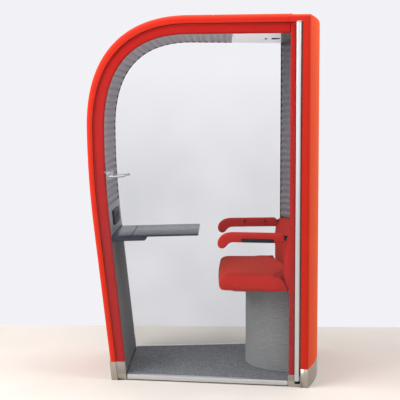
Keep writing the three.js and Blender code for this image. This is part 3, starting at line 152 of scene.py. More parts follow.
def makeMaterials():
    made = {}

    # wool upholstery cloth, plain woven: soft nap that brightens at the edges, threads of two reds;
    # the binding at the rear glass is the same red drawn far darker and with little nap: painted shade
    # the 1.5 mm thread spacing is drawn at 4 mm, so that it shows
    def wovenCloth(name, dark, light, threadMm, sheen, tint):
        material, tree = startMaterial(name)
        place = addNode(tree, "ShaderNodeTexCoord").outputs["Object"]
        thread = addNode(tree, "ShaderNodeTexVoronoi", {"Vector": place, "Scale": 1000 / threadMm,
                                                        "Randomness": 0.55})
        cloud = addNode(tree, "ShaderNodeTexNoise", {"Vector": place, "Scale": 9.0, "Detail": 4.0})
        fleck = addNode(tree, "ShaderNodeTexNoise", {"Vector": place, "Scale": 700 / threadMm, "Detail": 2.0})
        blend = addNode(tree, "ShaderNodeMath", {0: cloud.outputs["Fac"], 1: fleck.outputs["Fac"]},
                        operation="MULTIPLY_ADD")
        blend.inputs[2].default_value = 0.18
        tone = addNode(tree, "ShaderNodeMix", {0: blend.outputs[0], 6: hexColour(dark), 7: hexColour(light)},
                       data_type="RGBA")
        bump = addNode(tree, "ShaderNodeBump", {"Height": thread.outputs["Distance"], "Strength": 0.35,
                                                "Distance": 0.0012})
        endMaterial(tree, {"Base Color": tone.outputs[2], "Roughness": 0.85, "Normal": bump.outputs[0],
                           "Sheen Weight": sheen, "Sheen Roughness": 0.45,
                           "Sheen Tint": hexColour(tint), "Specular IOR Level": 0.2})
        return material

    made["red_fabric"] = wovenCloth("red wool cloth", "b81b0e", "d02915", 4.0, 0.75, "ff8048")
    # the rear binding: painted shade, a darker copy of the binding cloth
    made["rear_cloth"] = wovenCloth("red binding cloth in painted shade", "4e0c0d", "641314", 4.0, 0.1, "ff6a58")
    made["seat_cloth"] = wovenCloth("red seat cloth", "b81a0f", "d2291a", 4.0, 0.45, "ff7048")
    made["band_cloth"] = wovenCloth("red binding cloth", "b4150f", "ca221a", 4.0, 0.4, "ff6a58")
    made["grey_weave"] = wovenCloth("grey upholstery weave", "949697", "b4b6b6", 4.0, 0.1, "ffffff")

    # open-cell acoustic foam: matt, fine pores; the strip on the seat wall is the same foam drawn darker: painted
    # shade
    for slot, name, dark, light in (("grey_foam", "grey acoustic foam", "b6b7be", "dedfe6"),
                                    ("shaded_wall_foam", "grey acoustic foam in painted shade", "7a7b82", "a2a3aa")):
        material, tree = startMaterial(name)
        place = addNode(tree, "ShaderNodeTexCoord").outputs["Object"]
        pores = addNode(tree, "ShaderNodeTexVoronoi", {"Vector": place, "Scale": 260.0})
        cloud = addNode(tree, "ShaderNodeTexNoise", {"Vector": place, "Scale": 40.0, "Detail": 5.0})
        tone = addNode(tree, "ShaderNodeMix", {0: cloud.outputs["Fac"], 6: hexColour(dark), 7: hexColour(light)},
                       data_type="RGBA")
        bump = addNode(tree, "ShaderNodeBump", {"Height": pores.outputs["Distance"], "Strength": 0.5,
                                                "Distance": 0.002})
        endMaterial(tree, {"Base Color": tone.outputs[2], "Roughness": 0.95, "Normal": bump.outputs[0],
                           "Specular IOR Level": 0.15})
        made[slot] = material

    # needle felt and cut-pile carpet: mixed fibres in light and dark specks, drawn at 7 mm so that they show
    for slot, name, dark, light, speck in (("dark_felt", "needle felt", "606162", "969899", 7.0),
                                           ("carpet", "cut-pile carpet", "5a5d62", "a6a9af", 7.0)):
        material, tree = startMaterial(name)
        place = addNode(tree, "ShaderNodeTexCoord").outputs["Object"]
        fibre = addNode(tree, "ShaderNodeTexNoise", {"Vector": place, "Scale": 400.0, "Detail": 3.0})
        tuft = addNode(tree, "ShaderNodeTexVoronoi", {"Vector": place, "Scale": 1000 / speck})
        grey = addNode(tree, "ShaderNodeSeparateColor", {"Color": tuft.outputs["Color"]})
        share = addNode(tree, "ShaderNodeMath", {0: grey.outputs[0], 1: 0.75, 2: 0.1}, operation="MULTIPLY_ADD")
        tone = addNode(tree, "ShaderNodeMix", {0: share.outputs[0], 6: hexColour(dark), 7: hexColour(light)},
                       data_type="RGBA")
        bump = addNode(tree, "ShaderNodeBump", {"Height": fibre.outputs["Fac"], "Strength": 0.7, "Distance": 0.003})
        endMaterial(tree, {"Base Color": tone.outputs[2], "Roughness": 0.95, "Normal": bump.outputs[0],
                           "Sheen Weight": 0.15, "Specular IOR Level": 0.1})
        made[slot] = material

    # birch plywood, only seen from below: fine grain along X
    material, tree = startMaterial("birch plywood")
    place = addNode(tree, "ShaderNodeTexCoord").outputs["Object"]
    along = addNode(tree, "ShaderNodeMapping", {"Vector": place, "Scale": (4.0, 60.0, 60.0)})
    grain = addNode(tree, "ShaderNodeTexNoise", {"Vector": along.outputs[0], "Scale": 3.0, "Detail": 6.0})
    tone = addNode(tree, "ShaderNodeMix", {0: grain.outputs["Fac"], 6: hexColour("b08f62"), 7: hexColour("d9bd92")},
                   data_type="RGBA")
    endMaterial(tree, {"Base Color": tone.outputs[2], "Roughness": 0.6})
    made["plywood"] = material

    # laminates, lacquer and moulded plastics: an even colour with a faint orange-peel or leather grain
    # the white panel also glows a little: painted light, standing in for the spill of the light in it
    plain = [("pale_laminate", "light grey laminate", "9fa2a8", "a9acb2", 0.45, 0.8, 0.08, 0.5, 0.0),
             ("white_lacquer", "white powder coat", "e2e4ea", "eceef4", 0.45, 1.2, 0.1, 0.5, 0.26),
             ("anthracite_laminate", "anthracite laminate", "1c2130", "283044", 0.24, 0.9, 0.1, 0.45, 0.0),
             ("black_plastic", "black moulded plastic", "08090b", "121316", 0.5, 1.0, 0.2, 0.2, 0.0),
             ("red_rubber", "red rubber", "b8211a", "c82a22", 0.85, 1.5, 0.15, 0.3, 0.0),
             ("brush_pile", "grey brush pile", "7a7169", "978d83", 0.9, 1.0, 0.2, 0.1, 0.0)]
    for slot, name, dark, light, rough, grainMm, depth, shine, paintedGlow in plain:
        material, tree = startMaterial(name)
        place = addNode(tree, "ShaderNodeTexCoord").outputs["Object"]
        grain = addNode(tree, "ShaderNodeTexNoise", {"Vector": place, "Scale": 1000 / grainMm, "Detail": 2.0})
        cloud = addNode(tree, "ShaderNodeTexNoise", {"Vector": place, "Scale": 6.0, "Detail": 3.0})
        tone = addNode(tree, "ShaderNodeMix", {0: cloud.outputs["Fac"], 6: hexColour(dark), 7: hexColour(light)},
                       data_type="RGBA")
        gloss = addNode(tree, "ShaderNodeMapRange", {"Value": cloud.outputs["Fac"], "To Min": rough - 0.02,
                                                     "To Max": rough + 0.02})
        bump = addNode(tree, "ShaderNodeBump", {"Height": grain.outputs["Fac"], "Strength": depth,
                                                "Distance": 0.0005})
        # the glow column lights the material from within: painted light, no lamp
        endMaterial(tree, {"Base Color": tone.outputs[2], "Roughness": gloss.outputs["Result"],
                           "Normal": bump.outputs[0], "Specular IOR Level": shine,
                           "Emission Color": hexColour("f4f4ff"), "Emission Strength": paintedGlow})
        made[slot] = material

    # brushed and satin metals: streaks along the rolling or grinding direction
    metals = [("stainless_steel", "brushed stainless sheet", "9c938a", "b8b1a9", 0.34, (3.0, 3.0, 260.0)),
              ("satin_steel", "satin stainless steel", "888a8c", "aaacae", 0.3, (120.0, 120.0, 120.0)),
              ("aluminium", "anodised aluminium", "bcbdbe", "d4d5d5", 0.46, (220.0, 220.0, 2.0))]
    for slot, name, dark, light, rough, streak in metals:
        material, tree = startMaterial(name)
        place = addNode(tree, "ShaderNodeTexCoord").outputs["Object"]
        along = addNode(tree, "ShaderNodeMapping", {"Vector": place, "Scale": streak})
        grain = addNode(tree, "ShaderNodeTexNoise", {"Vector": along.outputs[0], "Scale": 3.0, "Detail": 5.0})
        tone = addNode(tree, "ShaderNodeMix", {0: grain.outputs["Fac"], 6: hexColour(dark), 7: hexColour(light)},
                       data_type="RGBA")
        gloss = addNode(tree, "ShaderNodeMapRange", {"Value": grain.outputs["Fac"], "To Min": rough - 0.07,
                                                     "To Max": rough + 0.07})
        endMaterial(tree, {"Base Color": tone.outputs[2], "Metallic": 1.0, "Roughness": gloss.outputs["Result"]})
        made[slot] = material

    # frosted acrylic over a light strip
    material, tree = startMaterial("frosted acrylic")
    place = addNode(tree, "ShaderNodeTexCoord").outputs["Object"]
    frost = addNode(tree, "ShaderNodeTexNoise", {"Vector": place, "Scale": 400.0})
    tone = addNode(tree, "ShaderNodeMix", {0: frost.outputs["Fac"], 6: hexColour("eeeeea"), 7: hexColour("fafaf7")},
                   data_type="RGBA")
    endMaterial(tree, {"Base Color": tone.outputs[2], "Roughness": 0.55, "Emission Color": hexColour("f6f6ff"),
                       "Emission Strength": 0.26})
    made["frosted_diffuser"] = material

    # clear laminated glass: a faint grey veil, partly the glass's own tint and partly painted shade that grows
    # downwards, mirrors more at a low angle
    material, tree = startMaterial("clear laminated glass")
    place = addNode(tree, "ShaderNodeTexCoord").outputs["Object"]
    haze = addNode(tree, "ShaderNodeTexNoise", {"Vector": place, "Scale": 1.6, "Detail": 2.0})
    height = addNode(tree, "ShaderNodeSeparateXYZ", {"Vector": place})
    # the veil grows towards the bottom: painted shade
    tint = addNode(tree, "ShaderNodeMapRange", {"Value": height.outputs["Z"], "From Min": 1.9, "From Max": 0.9,
                                                "To Min": 0.01, "To Max": 0.17})
    paintedShadeVeil = addNode(tree, "ShaderNodeMath", {0: tint.outputs["Result"], 1: haze.outputs["Fac"]}, operation="MULTIPLY")
    slant = addNode(tree, "ShaderNodeLayerWeight", {"Blend": 0.5})
    steep = addNode(tree, "ShaderNodeMath", {0: slant.outputs["Facing"], 1: 5.0}, operation="POWER")
    alpha = addNode(tree, "ShaderNodeMath", {0: steep.outputs[0], 1: 0.5, 2: paintedShadeVeil.outputs[0]},
                    operation="MULTIPLY_ADD", use_clamp=True)
    endMaterial(tree, {"Base Color": hexColour("4c525a"), "Roughness": 0.03, "Alpha": alpha.outputs[0]})
    made["clear_glass"] = material
    print("materials ready:", len(made))
    return made


materials = makeMaterials()


# shell: the same rules as the solids, in metres
shell = {
    "length": 1.424, "height": 2.2, "deskHalf": 0.335, "seatHalf": 0.440, "plinth": 0.110,
    "foot": 0.092, "roof": 0.114, "reach": 0.134, "leanTop": 0.950, "widest": 1.530, "roofStart": -0.100,
    "softness": 0.66, "seatWall": 0.114, "bulge": 0.098, "hollow": 0.118, "rebate": 0.013, "band": 0.030, "rearBand": 0.012,
    "cover": 0.038, "coverRoof": 0.052, "lining": 0.022,
}
fit = 0.0003
roofInner = shell["height"] - shell["roof"]


def thick(z):
    return shell["foot"] + (shell["roof"] - shell["foot"]) * max(0, z) / roofInner


def coverAt(z):
    rise = (z - shell["widest"]) / (roofInner - shell["widest"])
    return shell["cover"] + (shell["coverRoof"] - shell["cover"]) * min(1, max(0, rise))


widestX = -shell["length"] / 2 + thick(shell["widest"])
deskFootX = widestX + shell["reach"]
slope = shell["reach"] / ((shell["leanTop"] + shell["widest"]) / 2)
lean = math.atan(slope)
seatEdgeX = shell["length"] / 2 - shell["bulge"] - shell["seatWall"]
seatOuterX = seatEdgeX + shell["seatWall"]
taper = (shell["seatHalf"] - shell["deskHalf"]) / (seatEdgeX - deskFootX)
planeAngle = math.atan(taper)
innerZone = shell["rebate"] + shell["band"] + fit
rearZone = shell["rebate"] + shell["rearBand"] + fit


def halfDepth(x):
    return shell["deskHalf"] + (x - deskFootX) * taper


def bowRadius(half, rise):
    return (half * half + rise * rise) / (2 * rise)


innerApex, outerApex = seatEdgeX + shell["hollow"], shell["length"] / 2
innerBow = bowRadius(halfDepth(seatEdgeX) - shell["rebate"], shell["hollow"])
outerBow = bowRadius(halfDepth(seatOuterX), shell["bulge"])


def bowX(apex, radius, y):
    return apex - radius + math.sqrt(radius * radius - y * y)


def bezierAt(points, t):
    row = [Vector(p) for p in points]
    along = row[-1] - row[0]
    while len(row) > 1:
        along = row[-1] - row[0] if len(row) == 2 else along
        row = [a.lerp(b, t) for a, b in zip(row, row[1:])]
    return row[0], along.normalized()


def sampleArch():
    turn = (shell["leanTop"] + shell["widest"]) / 2
    low = (deskFootX, 0.0)
    top = (deskFootX - slope * shell["leanTop"], shell["leanTop"])
    wide = (widestX, shell["widest"])
    rise = (widestX, shell["widest"] + shell["softness"] * (roofInner - shell["widest"]))
    run = (shell["roofStart"] - shell["softness"] * (shell["roofStart"] - widestX), roofInner)
    roof, end = (shell["roofStart"], roofInner), (innerApex + 0.05, roofInner)
    rows, length, last = [], 0.0, None
    for part in ([low, top], [top, (widestX, turn), wide], [wide, rise, run, roof], [roof, end]):
        for i in range(200):
            point, along = bezierAt(part, i / 199)
            length += (point - last).length if last is not None else 0.0
            last = point
            rows.append((length, point, along))
    return rows


archRows = sampleArch()
archLengths = [row[0] for row in archRows]


def archAt(s):
    i = min(max(bisect.bisect_right(archLengths, s) - 1, 0), len(archRows) - 2)
    (s0, p0, t0), (s1, p1, t1) = archRows[i], archRows[i + 1]
    share = 0.0 if s1 - s0 < 1e-9 else (s - s0) / (s1 - s0)
    return p0.lerp(p1, share), t0.lerp(t1, share).normalized()


def archPoint(s, offset):
    point, along = archAt(s)
    return point + Vector((-along.y, along.x)) * offset


def archAtHeight(z):
    return next(s for s, point, along in archRows if point.y >= z)


def archAtRoofX(x):
    return archLengths[-1] - (archRows[-1][1].x - x)


def seatPoint(across, inset, face, depth):
    innerY = across * (halfDepth(seatEdgeX) - inset)
    outerY = across * (halfDepth(seatOuterX) - inset)
    inner = Vector((bowX(innerApex, innerBow, innerY), innerY))
    outer = Vector((bowX(outerApex, outerBow, outerY), outerY))
    step = (outer - inner).normalized() * depth
    return inner + step if face == "in" else outer - step


def wallInset(across):  # what lies on the seat wall reaches nearer to the rear glass than to the door
    return innerZone + (rearZone - innerZone) * (across + 1) / 2


def steps(first, last, count):
    return [first + (last - first) * i / count for i in range(count + 1)]


# frame of the front glass: u along it, v into the pod; the rear one is its mirror image
frontFrame = Matrix.Translation((0, -halfDepth(0), 0)) @ Matrix.Rotation(-planeAngle, 4, "Z")
rearFrame = Matrix.Scale(-1, 4, (0, 1, 0)) @ frontFrame


def alongGlass(x, inset):
    return (x - inset * math.sin(planeAngle)) / math.cos(planeAngle)


# meshes
def newPiece(name, verts, faces, material, crease=40):
    mesh = bpy.data.meshes.new(name)
    mesh.from_pydata([tuple(v) for v in verts], [], faces)
    work = bmesh.new()
    work.from_mesh(mesh)
    bmesh.ops.remove_doubles(work, verts=work.verts, dist=1e-6)
    bmesh.ops.recalc_face_normals(work, faces=work.faces)
    work.to_mesh(mesh)
    work.free()
    return placed(name, mesh, material, crease)


def placed(name, mesh, material, crease=40):
    piece = bpy.data.objects.new(name, mesh)
    scene.collection.objects.link(piece)
    mesh.materials.clear()
    if material:
        mesh.materials.append(material)
    mesh.polygons.foreach_set("use_smooth", [True] * len(mesh.polygons))
    mesh.set_sharp_from_angle(angle=math.radians(crease))
    return piece


def loft(rings):
    size = len(rings[0])
    faces = [(i * size + j, i * size + (j + 1) % size, (i + 1) * size + (j + 1) % size, (i + 1) * size + j)
             for i in range(len(rings) - 1) for j in range(size)]
    last = (len(rings) - 1) * size
    faces.append(tuple(range(size)))
    faces.append(tuple(last + j for j in range(size)))
    return [v for ring in rings for v in ring], faces


def applied(piece):
    graph = bpy.context.evaluated_depsgraph_get()
    graph.update()
    mesh = bpy.data.meshes.new_from_object(piece.evaluated_get(graph))
    piece.modifiers.clear()
    old = piece.data
    piece.data = mesh
    bpy.data.meshes.remove(old)
    return piece


def cleaned(piece):  # no slivers left by cuts and bevels
    work = bmesh.new()
    work.from_mesh(piece.data)
    bmesh.ops.remove_doubles(work, verts=work.verts, dist=2e-5)
    bmesh.ops.dissolve_degenerate(work, edges=work.edges, dist=2e-5)
    work.to_mesh(piece.data)
    work.free()


def dressed(piece, body, *replaced, slot=None, fill=None):
    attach(piece, body)
    if replaced:
        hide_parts(*replaced)
        slot = slot or slotOf[replaced[0]]
    return piece


def archSkin(name, section, stations, material, foot, roofGap=None):
    rings = []
    if foot is not None:
        ring = []
        for offset, inset, across in section(archAtHeight(foot)):
            base = foot + offset * math.sin(lean)
            x = deskFootX - slope * base - offset * math.cos(lean)
            ring.append((x, across * (halfDepth(x) - inset), foot))
        rings.append(ring)
    for s in stations:
        ring = []
        for offset, inset, across in section(s):
            point = archPoint(s, offset)
            ring.append((point.x, across * (halfDepth(point.x) - inset), point.y))
        rings.append(ring)
    if roofGap is not None:
        ring = []
        for offset, inset, across in section(archLengths[-1]):
            x = seatEdgeX
            for k in range(6):
                y = across * (halfDepth(x) - inset)
                x = bowX(innerApex, innerBow, y) - roofGap
            ring.append((x, y, roofInner + offset))
        rings.append(ring)
    return newPiece(name, *loft(rings), material)


# node tree that sets one unit after another along a path; the path carries the side it faces and a width
def rowTree():
    tree = bpy.data.node_groups.new("rowAlongPath", "GeometryNodeTree")
    for name, kind in (("Path", "NodeSocketGeometry"), ("Unit", "NodeSocketObject"), ("Pitch", "NodeSocketFloat"),
                       ("Jitter", "NodeSocketFloat"), ("Finish", "NodeSocketMaterial")):
        tree.interface.new_socket(name=name, in_out="INPUT", socket_type=kind)
    tree.interface.new_socket(name="Row", in_out="OUTPUT", socket_type="NodeSocketGeometry")
    given = addNode(tree, "NodeGroupInput").outputs
    curve = addNode(tree, "GeometryNodeMeshToCurve", {"Mesh": given["Path"]})
    points = addNode(tree, "GeometryNodeResampleCurve", {"Curve": curve.outputs[0], "Length": given["Pitch"]},
                     mode="LENGTH")
    unit = addNode(tree, "GeometryNodeObjectInfo", {"Object": given["Unit"]})
    along = addNode(tree, "GeometryNodeInputTangent")
    side = addNode(tree, "GeometryNodeInputNamedAttribute", {"Name": "side"}, data_type="FLOAT_VECTOR")
    width = addNode(tree, "GeometryNodeInputNamedAttribute", {"Name": "width"}, data_type="FLOAT")
    first = addNode(tree, "FunctionNodeAlignRotationToVector", {"Vector": along.outputs[0]}, axis="Z")
    second = addNode(tree, "FunctionNodeAlignRotationToVector", {"Rotation": first.outputs[0],
                                                                 "Vector": side.outputs[0]}, axis="X", pivot_axis="Z")
    low = addNode(tree, "ShaderNodeMath", {0: given["Jitter"], 1: -1.0}, operation="MULTIPLY")
    shake = addNode(tree, "FunctionNodeRandomValue", {"Seed": 7}, data_type="FLOAT")
    tree.links.new(low.outputs[0], shake.inputs[2])
    tree.links.new(given["Jitter"], shake.inputs[3])
    turn = addNode(tree, "ShaderNodeCombineXYZ", {"X": shake.outputs[1], "Y": shake.outputs[1]})
    loose = addNode(tree, "FunctionNodeRotateRotation", {"Rotation": second.outputs[0]}, rotation_space="LOCAL")
    tree.links.new(turn.outputs[0], loose.inputs[1])
    scale = addNode(tree, "ShaderNodeCombineXYZ", {"X": 1.0, "Y": width.outputs[0], "Z": 1.0})
    copies = addNode(tree, "GeometryNodeInstanceOnPoints", {
        "Points": points.outputs[0], "Instance": unit.outputs["Geometry"], "Rotation": loose.outputs[0],
        "Scale": scale.outputs[0]})
    real = addNode(tree, "GeometryNodeRealizeInstances", {"Geometry": copies.outputs[0]})
    finish = addNode(tree, "GeometryNodeSetMaterial", {"Geometry": real.outputs[0], "Material": given["Finish"]})
    addNode(tree, "NodeGroupOutput", {"Row": finish.outputs[0]})
    return tree


rows = rowTree()


def growRow(name, paths, unit, pitch, material, jitter=0.0, crease=40):
    verts, edges, sides, widths = [], [], [], []
    for path in paths:
        start = len(verts)
        for point, side, width in path:
            verts.append(tuple(point))
            sides.extend(side)
            widths.append(width)
        edges.extend((start + i, start + i + 1) for i in range(len(path) - 1))
    mesh = bpy.data.meshes.new(name)
    mesh.from_pydata(verts, edges, [])
    mesh.attributes.new("side", "FLOAT_VECTOR", "POINT").data.foreach_set("vector", sides)
    mesh.attributes.new("width", "FLOAT", "POINT").data.foreach_set("value", widths)
    piece = bpy.data.objects.new(name, mesh)
    scene.collection.objects.link(piece)
    grow = piece.modifiers.new("row", "NODES")
    grow.node_group = rows
    given = {"Unit": unit, "Pitch": pitch, "Jitter": jitter, "Finish": material}
    for socket in rows.interface.items_tree:
        if socket.in_out == "INPUT" and socket.name in given:
            grow[socket.identifier] = given[socket.name]
    applied(piece)
    data = piece.data
    data.polygons.foreach_set("use_smooth", [True] * len(data.polygons))
    data.set_sharp_from_angle(angle=math.radians(crease))
    for spare in ("side", "width"):
        if spare in data.attributes:
            data.attributes.remove(data.attributes[spare])
    bpy.data.objects.remove(unit)
    print(name, "grown:", len(data.polygons), "faces")
    return piece


# stuffing: even skin, cloth under pressure, movement capped, smoothed once
def stuffed(piece, voxel, pressure, cap, pinned):
    even = piece.modifiers.new("even", "REMESH")
    even.mode, even.voxel_size = "VOXEL", voxel
    applied(piece)
    before = [v.co.copy() for v in piece.data.vertices]
    group = piece.vertex_groups.new(name="held")
    group.add([i for i, co in enumerate(before) if pinned(co)], 1.0, "REPLACE")
    cloth = piece.modifiers.new("stuffing", "CLOTH")
    cloth.settings.quality = 5
    cloth.settings.mass = 0.3
    cloth.settings.use_pressure = True
    cloth.settings.uniform_pressure_force = pressure
    cloth.settings.effector_weights.gravity = 0
    cloth.settings.vertex_group_mass = "held"
    cloth.collision_settings.use_collision = False
    for number in range(1, 19):
        scene.frame_set(number)
    applied(piece)
    scene.frame_set(1)
    for vertex, old in zip(piece.data.vertices, before):
        move = vertex.co - old
        if move.length > cap:
            vertex.co = old + move.normalized() * cap
    piece.vertex_groups.clear()
    smooth = piece.modifiers.new("smooth", "SMOOTH")
    smooth.factor, smooth.iterations = 0.5, 6
    applied(piece)
    round_ = piece.modifiers.new("round", "SUBSURF")
    round_.levels = round_.render_levels = 1
    applied(piece)
    piece.data.polygons.foreach_set("use_smooth", [True] * len(piece.data.polygons))
    print(piece.name, "stuffed:", len(piece.data.vertices), "points")
    return piece


red, seatRed = materials["red_fabric"], materials["seat_cloth"]
# the rear bands get the binding drawn in painted shade
bandRed = {"front": materials["band_cloth"], "rear": materials["rear_cloth"]}

# arch upholstery: outer cover with rolled edges and sewn joins, inner bands behind the glass
cover = {"round": 0.028, "crown": 0.0025, "edgeSteps": 8, "acrossSteps": 12, "step": 0.022, "seams": (1.36, 2.55),
         "seamDip": 0.0028, "seamWidth": 0.0035, "bandRound": 0.010, "rearBack": 0.0015}


def seamDip(s):
    return sum(cover["seamDip"] * math.exp(-((s - at) / cover["seamWidth"]) ** 2) for at in cover["seams"])


def coverSection(s):
    z = archPoint(s, 0).y
    top = thick(z) - seamDip(s)
    base = thick(z) - coverAt(z)
    r = cover["round"]
    edge = []
    for turn in steps(0, math.pi / 2, cover["edgeSteps"]):
        edge.append((top - cover["crown"] - r * (1 - math.sin(turn)), r * (1 - math.cos(turn))))
    middle = [(top - cover["crown"] * a * a, r, a) for a in steps(-1, 1, cover["acrossSteps"])[1:-1]]
    return ([(base, 0, -1)] + [(o, i, -1) for o, i in edge] + middle
            + [(o, i, 1) for o, i in reversed(edge)] + [(base, 0, 1)])


def bandSection(side):
    def section(s):
        z = archPoint(s, 0).y
        outer = thick(z) - coverAt(z) - fit
        face, back, r = shell["rebate"], shell["rebate"] + shell["band"], cover["bandRound"]
        low = cover["rearBack"] if side > 0 else 0.0  # the rear one lies a little lower than the ribs' crests
        edge = [(low + r * (1 - math.sin(t)), face + r * (1 - math.cos(t))) for t in steps(0, math.pi / 2, 5)]
        return [(o, i, side) for o, i in [(outer, face)] + edge + [(low, back), (outer, back)]]
    return section


def archStations():
    first, last = archAtHeight(shell["plinth"] + 0.03), archAtRoofX(seatEdgeX - 0.02)
    count = int((last - first) / cover["step"])
    stations = steps(first, last, count)
    for at in cover["seams"]:
        stations = [s for s in stations if abs(s - at) > 0.012] + [at + d * 0.0025 for d in range(-4, 5)]
    return sorted(stations)


def buildArch():
    stations = archStations()
    foot = shell["plinth"] + fit
    piece = archSkin("archCover", coverSection, stations, red, foot, roofGap=0.0018)
    dressed(piece, "pod", "arch_cover", fill=0.9)
    for name, side in (("front", -1), ("rear", 1)):
        piece = archSkin(f"{name}Band", bandSection(side), stations, bandRed[name], foot, roofGap=fit)
        dressed(piece, "pod", f"arch_{name}_band", fill=0.9)
    # stitches on both sides of each join
    paths = []
    for at in cover["seams"]:
        for shift in (-0.007, 0.007):
            path = []
            for a in steps(-0.93, 0.93, 30):
                top = thick(archPoint(at, 0).y) - cover["crown"] * a * a + 0.0002
                point = archPoint(at + shift, top)
                normal = archPoint(at + shift, 1) - archPoint(at + shift, 0)
                path.append(((point.x, a * (halfDepth(point.x) - cover["round"]), point.y),
                             (normal.x, 0, normal.y), 1.0))
            paths.append(path)
    row = growRow("archStitches", paths, stitchUnit(), 0.008, red)
    dressed(row, "pod", slot="red_fabric")
    print("arch upholstered")


def stitchUnit():
    work = bmesh.new()
    bmesh.ops.create_uvsphere(work, u_segments=6, v_segments=4, radius=1.0)
    bmesh.ops.scale(work, vec=(0.0007, 0.0009, 0.0027), verts=work.verts)
    mesh = bpy.data.meshes.new("stitch")
    work.to_mesh(mesh)
    work.free()
    unit = bpy.data.objects.new("stitch", mesh)
    scene.collection.objects.link(unit)
    return unit


buildArch()

# seat wall upholstery: one bowed cover that rolls over the top, more so in the middle; bands beside the glass
seatWall = {"cover": 0.042, "cap": 0.052, "topRound": 0.030, "endRound": 0.012, "edge": 0.012, "topRoll": 0.030,
            "topDrop": 0.006,
            "edgeSteps": 5, "acrossSteps": 26, "gap": 0.0008, "frontBand": 0.033, "plinthStep": 0.070, "bandRound": 0.009}


def seatCoverRing(across, inset, shrink):
    full, roll = abs(across) ** 4, seatWall["topRoll"]
    r = seatWall["topRound"] + (seatWall["endRound"] - seatWall["topRound"]) * full
    left = max(0, roll - inset) if abs(across) == 1 else 0
    top = shell["height"] - seatWall["topDrop"] - 0.6 * (roll - math.sqrt(roll * roll - left * left))
    cap, foot = shell["height"] - seatWall["cap"], shell["plinth"] + fit
    rise = [("out", shrink, z) for z in steps(foot, top - r, 14)]
    arc = [("out", shrink + r * (1 - math.cos(t)), top - r * (1 - math.sin(t)))
           for t in steps(0, math.pi / 2, 9)[1:]]
    return [("out", seatWall["cover"], foot)] + rise + arc + [
        ("in", 0, top), ("in", 0, cap), ("out", seatWall["cover"], cap)]


def buildSeatWall():
    r, roll = seatWall["edge"], seatWall["topRoll"]
    rim = [(r * (1 - math.cos(t)), r * (1 - math.sin(t))) for t in steps(0, math.pi / 2, seatWall["edgeSteps"])]
    rim += [(inset, 0) for inset in steps(r, roll, 5)[1:]]
    stations = [(-1, inset, shrink) for inset, shrink in rim]
    stations += [(a, roll, 0) for a in steps(-1, 1, seatWall["acrossSteps"])[1:-1]]
    stations += [(1, inset, shrink) for inset, shrink in reversed(rim)]
    rings = []
    for across, inset, shrink in stations:
        ring = []
        for face, depth, z in seatCoverRing(across, inset, shrink):
            point = seatPoint(across, inset, face, depth)
            ring.append((point.x, point.y, z))
        rings.append(ring)
    piece = newPiece("seatWallCover", *loft(rings), red)
    dressed(piece, "pod", "seat_wall_cover", fill=0.9)
    foot, top = seatWall["plinthStep"] + fit, shell["height"] - seatWall["cap"] - fit
    face, rb = shell["rebate"], seatWall["bandRound"]
    for name, side, depth, back in (
            ("front", -1, ("in", seatWall["frontBand"]), face + shell["band"]),
            ("rear", 1, ("out", seatWall["cover"] + seatWall["gap"]), face + shell["rearBand"])):
        plan = [(("in", rb * (1 - math.sin(t))), face + rb * (1 - math.cos(t))) for t in steps(0, math.pi / 2, 5)]
        plan = [(depth, face)] + plan + [(("in", 0.0), back), (depth, back)]
        spots = [seatPoint(side, inset, *where) for where, inset in plan]
        rings = [[(p.x, p.y, z) for p in spots] for z in steps(foot, top, 20)]
        piece = newPiece(f"seatWall{name.capitalize()}Band", *loft(rings), bandRed[name])
        dressed(piece, "pod", f"seat_wall_{name}_band", fill=0.9)
    print("seat wall upholstered")


buildSeatWall()

# corrugated foam lining: one rib after another along the arch, and up the bowed wall
ribs = {"pitch": 0.0415, "height": 0.0065, "back": 0.0205, "gap": 0.00015, "socketTop": 1.050, "panelStart": 0.170,
        "wallFrom": 0.912, "profileSteps": 10}


def ribProfile(pitch):
    half = pitch / 2 - ribs["gap"]
    crest = [(ribs["height"] * math.sin(math.pi * z / pitch) ** 2, z)
             for z in steps(-half, half, ribs["profileSteps"])]
    return crest + [(ribs["back"], half), (ribs["back"], -half)]


def buildLinings():
    foam = materials["grey_foam"]
    start, end = archAtHeight(ribs["socketTop"]), archAtRoofX(ribs["panelStart"])
    count = round((end - start) / ribs["pitch"])
    pitch = (end - start) / count
    rings = [[(depth, y, z) for depth, z in ribProfile(pitch)] for y in (-1.0, 1.0)]
    unit = newPiece("archRib", *loft(rings), None)
    path = []
    for s in steps(start + pitch / 2, end - pitch / 2, (count - 1) * 4):
        point, along = archAt(s)
        width = halfDepth(point.x) - innerZone
        path.append(((point.x, 0, point.y), (-along.y, 0, along.x), width))
    piece = growRow("archLining", [path], unit, pitch * 0.99999, foam)
    dressed(piece, "pod", "arch_lining", fill=0.8)
    low, high = ribs["wallFrom"], roofInner - 0.001
    count = round((high - low) / ribs["pitch"])
    pitch = (high - low) / count
    rings = []
    for across in steps(-1, 1, 24):
        ring = []
        for depth, z in ribProfile(pitch):
            point = seatPoint(across, wallInset(across), "in", depth)
            ring.append((point.x, point.y, z))
        rings.append(ring)
    unit = newPiece("wallRib", *loft(rings), None)
    path = [((0, 0, z), (1, 0, 0), 1.0) for z in steps(low + pitch / 2, high - pitch / 2, count - 1)]
    # the seat wall's lining uses the foam drawn darker: painted shade
    piece = growRow("seatWallLining", [path], unit, pitch * 0.99999, materials["shaded_wall_foam"])
    dressed(piece, "pod", "seat_wall_lining", fill=0.8)
    print("linings fitted")


buildLinings()

